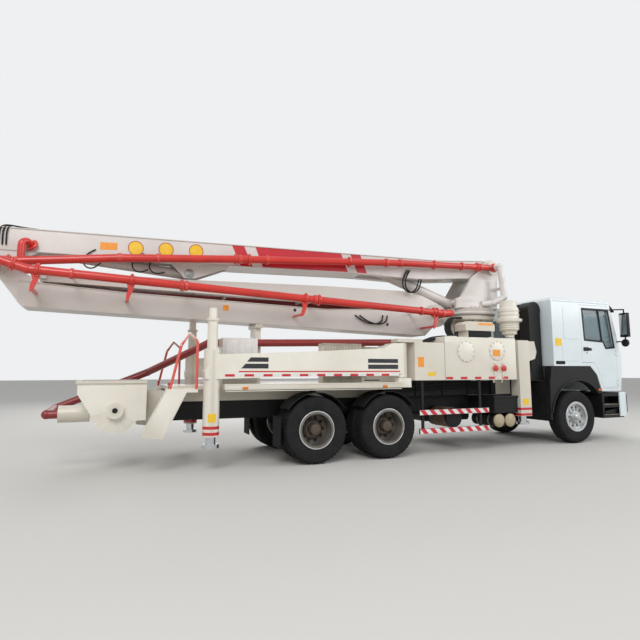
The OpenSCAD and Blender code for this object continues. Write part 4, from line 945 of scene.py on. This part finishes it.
def valves_and_tanks():
    """Hand valves, air tank ends, silencer wrap and battery cover, all on the right side."""
    knob = [(0, -0.03), (0.02, -0.03), (0.028, -0.02), (0.05, -0.018), (0.058, -0.008),
            (0.058, 0.008), (0.05, 0.018), (0.02, 0.02), (0, 0.02)]
    knobs, pipes = [], []
    for x in (3.05, 3.25):
        knobs.append(revolve(knob, (x, -1.27, 1.56), "y", 40))
        drop = [(x, -1.235, 1.60), (x, -1.25, 1.5), (x, -1.245, 1.42), (x, -1.2, 1.34),
                (x + 0.02, -1.17, 1.29)]
        lever = [(x - 0.03, -1.243, 1.655), (x, -1.25, 1.65), (x + 0.03, -1.243, 1.655)]
        pipes += [tube(smooth_path(drop, 8), 0.018, 12),
                  revolve([(0, -0.03), (0.03, -0.03), (0.03, 0.03), (0, 0.03)],
                          (x, -1.243, 1.56), "y", 24), tube(lever, 0.012, 10)]
    piece("hand_valve_knobs", knobs, PIPE_RED)
    piece("hand_valve_pipes", pipes, CREAM)
    dish = [(0, -0.03), (0.06, -0.026), (0.105, -0.014), (0.122, 0.0), (0.128, 0.004),
            (0.128, 0.03), (0.124, 0.034), (0, 0.034)]
    tanks = ((3.19, 0.55), (3.47, 0.55))
    piece("air_tank_ends", [revolve(dish, (x, -1.152, z), "y", 48) for x, z in tanks], TAN_STEEL)
    piece("air_tank_bands", [revolve(rect(0.1245, 0.129, y, y + 0.035), (x, 0, z), "y", 48, True)
                             for x, z in tanks for y in (-0.98, -0.66)], ZINC)
    ribs = [(0.1795, -1.06)]
    for y in -1.05 + 0.055 * np.arange(9):
        ribs += [(0.181, y), (0.187, y + 0.01), (0.187, y + 0.03), (0.181, y + 0.04)]
    ribs.append((0.1795, -0.55))
    piece("silencer_wrap", [revolve(ribs, (2.15, 0, 0.64), "y", 64, True)], SILENCER)
    piece("battery_box_cover", [box_with(3.035, 3.645, 1.0, 1.195, 0.985, 1.02, -1)]
          + [box_with(3.06, 3.62, 1.178, 1.188, z, z + 0.018, -1)
             for z in np.arange(0.74, 0.97, 0.045)], BLACK_ABS, bevel=0.004)


def deck_parts():
    """The cooler's core and the valve cover, and lamps, rail lips and handrails of both sides."""
    face = 0.7595
    core = [box_with(x, x + 0.012, face, 0.772, 1.36, 1.97, -1)
            for x in np.arange(-0.36, 0.37, 0.03)]
    core += [box_with(-0.383, 0.393, face, 0.768, z, z + 0.035, -1) for z in (1.33, 1.968)]
    core.append(box_with(-0.383, 0.393, 0.555, 0.768, 1.9995, 2.006, -1))
    piece("cooler_core", core, ALUMINIUM, bevel=0.002, slot="machine_grey")
    cover = [box_with(-2.154, -1.566, face, 0.764, 1.34, 2.05, -1),
             box_with(-2.154, -1.566, 0.396, 0.764, 2.0495, 2.058, -1),
             box_with(-1.569, -1.564, 0.396, 0.764, 1.34, 2.05, -1)]
    cover += [box_with(x, x + 0.02, 0.764, 0.774, 1.4, 2.0, -1)
              for x in np.arange(-2.1, -1.62, 0.11)]
    piece("valve_cover", cover, WRAPPED, bevel=0.003)
    for side, s in SIDES:
        piece(f"deck_markers_{side}",
              [plate(round_rect(x, x + 0.09, 1.225, 1.265, 0.012), s * 1.249, s * 1.262)
               for x in (-1.93, 0.55)], LAMP_AMBER, bevel=0.004)
        piece(f"deck_rail_lips_{side}", [decal(rect(-2.19, 0.93, z0, z1), s * 1.25, 0.006)
                                         for z0, z1 in ((1.195, 1.207), (1.295, 1.309))],
              CREAM, bevel=0.002)
        y = s * 1.13
        posts = [[(-3.0, y, 1.23), (-2.85, y, 1.9)],
                 [(-2.85, y, 1.9), (-2.73, y, 2.08), (-2.61, y, 1.97)],
                 [(-2.61, y, 1.97), (-2.61, y, 1.235)]]
        piece(f"handrail_{side}", [tube(post, 0.0212, 14) for post in posts], PIPE_RED)
        piece(f"tail_lamps_{side}",
              [box_with(-3.02, -2.995, 0.95, 1.12, z, z + 0.05, s) for z in (1.24, 1.295)],
              LAMP_RED, bevel=0.006)


def boom_brackets():
    """Brackets under the second section's pipe, and the ends of the boom's pins."""
    hangers, arms = [], []
    (x0, y, z0), (x1, _, z1) = RUN_2
    for x in (-4.88, -3.58, -0.69, 2.1):
        t = (x - x0) / (x1 - x0)
        z = z0 + (z1 - z0) * t
        shape = [(x - 0.09, z - 0.02), (x + 0.06, z - 0.02), (x + 0.03, z - 0.14),
                 (x - 0.03, z - 0.30), (x - 0.075, z - 0.33), (x - 0.075, z - 0.24),
                 (x - 0.045, z - 0.14)]
        hangers += [plate(shape, y - 0.015, y + 0.015)] + coupling(*RUN_2, t)
        arms.append(box_with(x - 0.075, x - 0.03, 0.24, -y, z - 0.3, z - 0.26, -1))
    piece("pipe_2_hangers", hangers, PIPE_RED, "boom_2", bevel=0.004)
    piece("pipe_2_arms", arms, PIPE_RED, "boom_2", bevel=0.004)
    for name, x, z, y, r, paint, body, slot in (
            ("boom_1_pins", -2.64, 3.2, 0.171, 0.06, ZINC, "boom_1", "machine_grey"),
            ("turret_pin_caps", 3.86, 3.77, 0.412, 0.1, CREAM, "turret", "cream")):
        cap = [(0, 0.012), (r * 0.7, 0.012), (r, 0.006), (r * 1.4, 0.005), (r * 1.45, -0.003),
               (0, -0.003)]
        piece(name, [turned(cap, (x, s * y, z), s, 40) for s in (-1, 1)], paint, body, slot=slot)


def hoses():
    """Hydraulic hoses of the boom, the side tank and the column."""
    tail, tail_1 = boom_1_top(-4.95) + 0.014, boom_1_top(-5.15) + 0.02
    for k in range(3):
        x, y = -5.36 - 0.05 * k, -0.12 - 0.05 * k
        z, drop = boom_1_top(x) + 0.012, x - 0.005
        hose(f"tail_hose_{k}",
             [(-4.95, y, tail), (-5.15, y - 0.01, tail_1), (x + 0.06, -0.235, z + 0.045),
              (x, -0.305, z + 0.014), (drop, -0.32, z - 0.09), (drop, -0.3, z - 0.2),
              (drop, -0.292, z - 0.29)], 0.022, "boom_1")
    for k in range(5):
        y, inner = -0.95 + k * 0.055, k * 0.05
        hose(f"tank_hose_{k}",
             [(1.32, y, 2.052), (1.75, y - 0.005, 2.06 + 0.004 * k), (1.95, y, 2.174),
              (2.3, y + 0.1, 2.174), (2.75, -0.62 + inner, 2.184),
              (3.02 - 0.02 * k, -0.40 + inner, 2.26 + k * 0.02),
              (3.1 - 0.018 * k, -0.29 + inner, 2.36 + k * 0.03)],
             0.042, "chassis", relax=6)
    for k in range(4):
        x = 2.42 + 0.045 * k
        hose(f"column_hose_{k}",
             [(2.47 + 0.045 * k, -0.66, 2.172), (x, -0.6, 2.23), (x, -0.53, 2.38),
              (2.53 + 0.035 * k, -0.46, 2.54), (2.72 + 0.02 * k, -0.38 - 0.01 * k, 2.63),
              (2.94 + 0.016 * k, -0.28 - 0.032 * k, 2.635)], 0.036, "chassis")
    for k in range(2):
        x = 0.62 + 0.1 * k
        hose(f"boom_2_hose_{k}",
             [(x - 0.1, -0.266, 2.6), (x, -0.285, 2.52), (x + 0.2, -0.3, 2.44),
              (x + 0.42, -0.3, 2.45), (x + 0.5, -0.285, 2.53), (x + 0.52, -0.266, 2.62)],
             0.028, "boom_2", relax=12)
        x = 1.72 + 0.06 * k
        hose(f"lift_hose_{k}",
             [(x, -0.294, 3.58), (x - 0.07, -0.315, 3.5), (x - 0.16, -0.33, 3.36),
              (x - 0.15, -0.32, 3.2), (x - 0.03, -0.3, 3.1), (x + 0.14, -0.28, 3.11),
              (x + 0.26, -0.26, 3.22), (x + 0.3, -0.255, 3.413 + 0.006 * k)], 0.03, "boom_1")
    for k, x in enumerate((-4.35, -3.62, -3.35)):
        hose(f"cylinder_hose_{k}",
             [(x + 0.22, -0.292, 3.46), (x + 0.1, -0.305, 3.38), (x + 0.02, -0.3, 3.27),
              (x + 0.06, -0.255, 3.17), (x + 0.18, -0.18, 3.15),
              (x + 0.3, -0.1, 3.17 - 0.0892 * (x + 2.94))], 0.022, "boom_1")


def underside():
    """Brake chambers, U-bolts and mudflaps below the frame."""
    can = [(0, -0.09), (0.06, -0.09), (0.078, -0.06), (0.078, -0.012), (0.086, -0.008),
           (0.086, 0.008), (0.078, 0.012), (0.07, 0.07), (0.03, 0.09), (0, 0.09)]
    chambers, bolts = [], []
    for x in REAR_XS:
        for s in (-1, 1):
            rod = [(x - 0.14, s * 0.52, 0.62), (x - 0.06, s * 0.53, 0.62), (x, s * 0.54, 0.6)]
            chambers += [revolve(can, (x - 0.22, s * 0.52, 0.62), "x", 32), tube(rod, 0.022, 10)]
    piece("brake_chambers", chambers, CHASSIS)
    for s in (-1, 1):
        bolts += [tube([(x, s * 0.425, 0.86), (x, s * 0.424, 0.98)], 0.011, 8)
                  for x in (-0.07, 0.07)]
        bolts += [tube([(x, s * y, 0.49), (x, s * y, 0.67)], 0.01, 8)
                  for x in (FRONT_X - 0.075, FRONT_X + 0.075) for y in (0.332, 0.438)]
    piece("spring_u_bolts", bolts, ZINC, slot="machine_grey")
    piece("mud_flaps", [box_with(-1.295, -1.287, 0.78, 1.2, 0.28, 0.78, s) for s in (-1, 1)],
          RUBBER, bevel=0.002)


wheels()
boom()
boom_brackets()
hoses()
outriggers()
side_boxes()
for cab_half in SIDES:
    cab_side(*cab_half)
cab_front()
turret_parts()
turret_fairing()
valves_and_tanks()
deck_parts()
underside()


# ---- floor, light and camera

def floor(half, colour, rough):
    """A floor of one plain colour."""
    mesh = bpy.data.meshes.new("floor")
    mesh.from_pydata([(-half, -half, 0), (half, -half, 0), (half, half, 0), (-half, half, 0)], [],
                     [[0, 1, 2, 3]])
    obj = new_object("floor", mesh)
    mat, _, shader = new_material("floor")
    shader.inputs["Base Color"].default_value = linear(colour)
    shader.inputs["Roughness"].default_value = rough
    mesh.materials.append(mat)


def world_light(strength, shown):
    """A pale sky for the camera, gloss and glass, and a plain grey one that lights the truck."""
    world = bpy.data.worlds.new("studio")
    bpy.context.scene.world = world
    world.use_nodes = True
    tree = world.node_tree
    tree.nodes.clear()
    path = add(tree, "ShaderNodeLightPath")
    either = add(tree, "ShaderNodeMath", {"operation": "MAXIMUM"})
    tree.links.new(path.outputs["Is Camera Ray"], either.inputs[0])
    tree.links.new(path.outputs["Is Glossy Ray"], either.inputs[1])
    any_ray = add(tree, "ShaderNodeMath", {"operation": "MAXIMUM"})
    tree.links.new(either.outputs[0], any_ray.inputs[0])
    tree.links.new(path.outputs["Is Transmission Ray"], any_ray.inputs[1])
    light = add(tree, "ShaderNodeBackground", {"Color": linear("F4F6FA"), "Strength": strength})
    seen = add(tree, "ShaderNodeBackground", {"Color": linear(shown), "Strength": 1.0})
    mix = add(tree, "ShaderNodeMixShader", None,
              {"Fac": any_ray.outputs[0], 1: light.outputs[0], 2: seen.outputs[0]})
    add(tree, "ShaderNodeOutputWorld", None, {"Surface": mix.outputs[0]})


def lamp(name, place, target, size, watts):
    """A soft rectangular lamp that looks at the target."""
    data = bpy.data.lights.new(name, "AREA")
    data.shape = "SQUARE"
    data.size = size
    data.energy = watts
    obj = new_object(name, data)
    obj.location = place
    obj.rotation_euler = (Vector(target) - Vector(place)).to_track_quat("-Z", "Y").to_euler()


floor(120.0, "CFCDC8", 0.9)
world_light(0.55, "EEF0F1")
lamp("key", (-9, -14, 13), (0, 0, 1.5), 9, 1850)
lamp("fill", (12, -9, 8), (1, 0, 1.5), 9, 700)
lamp("back", (2, 15, 11), (0, 0, 1.5), 9, 1300)

CAMERA_AT = (-4.3542, -8.7808, 1.4762)
YAW, PITCH, ROLL = 0.3932, 0.1159, -0.0026
LENS_MM, SENSOR_MM, SHIFT_UP = 27.56, 36.0, -4 / 640

camera = new_object("camera", bpy.data.cameras.new("camera"))
bpy.context.scene.camera = camera
look = Vector((math.sin(YAW) * math.cos(PITCH), math.cos(YAW) * math.cos(PITCH), math.sin(PITCH)))
turn = look.to_track_quat("-Z", "Y") @ Matrix.Rotation(ROLL, 3, "Z").to_quaternion()
camera.location = CAMERA_AT
camera.rotation_euler = turn.to_euler()
camera.data.lens = LENS_MM
camera.data.sensor_width = SENSOR_MM
camera.data.shift_y = SHIFT_UP
camera.data.clip_end = 400

bpy.context.scene.view_settings.view_transform = "Standard"
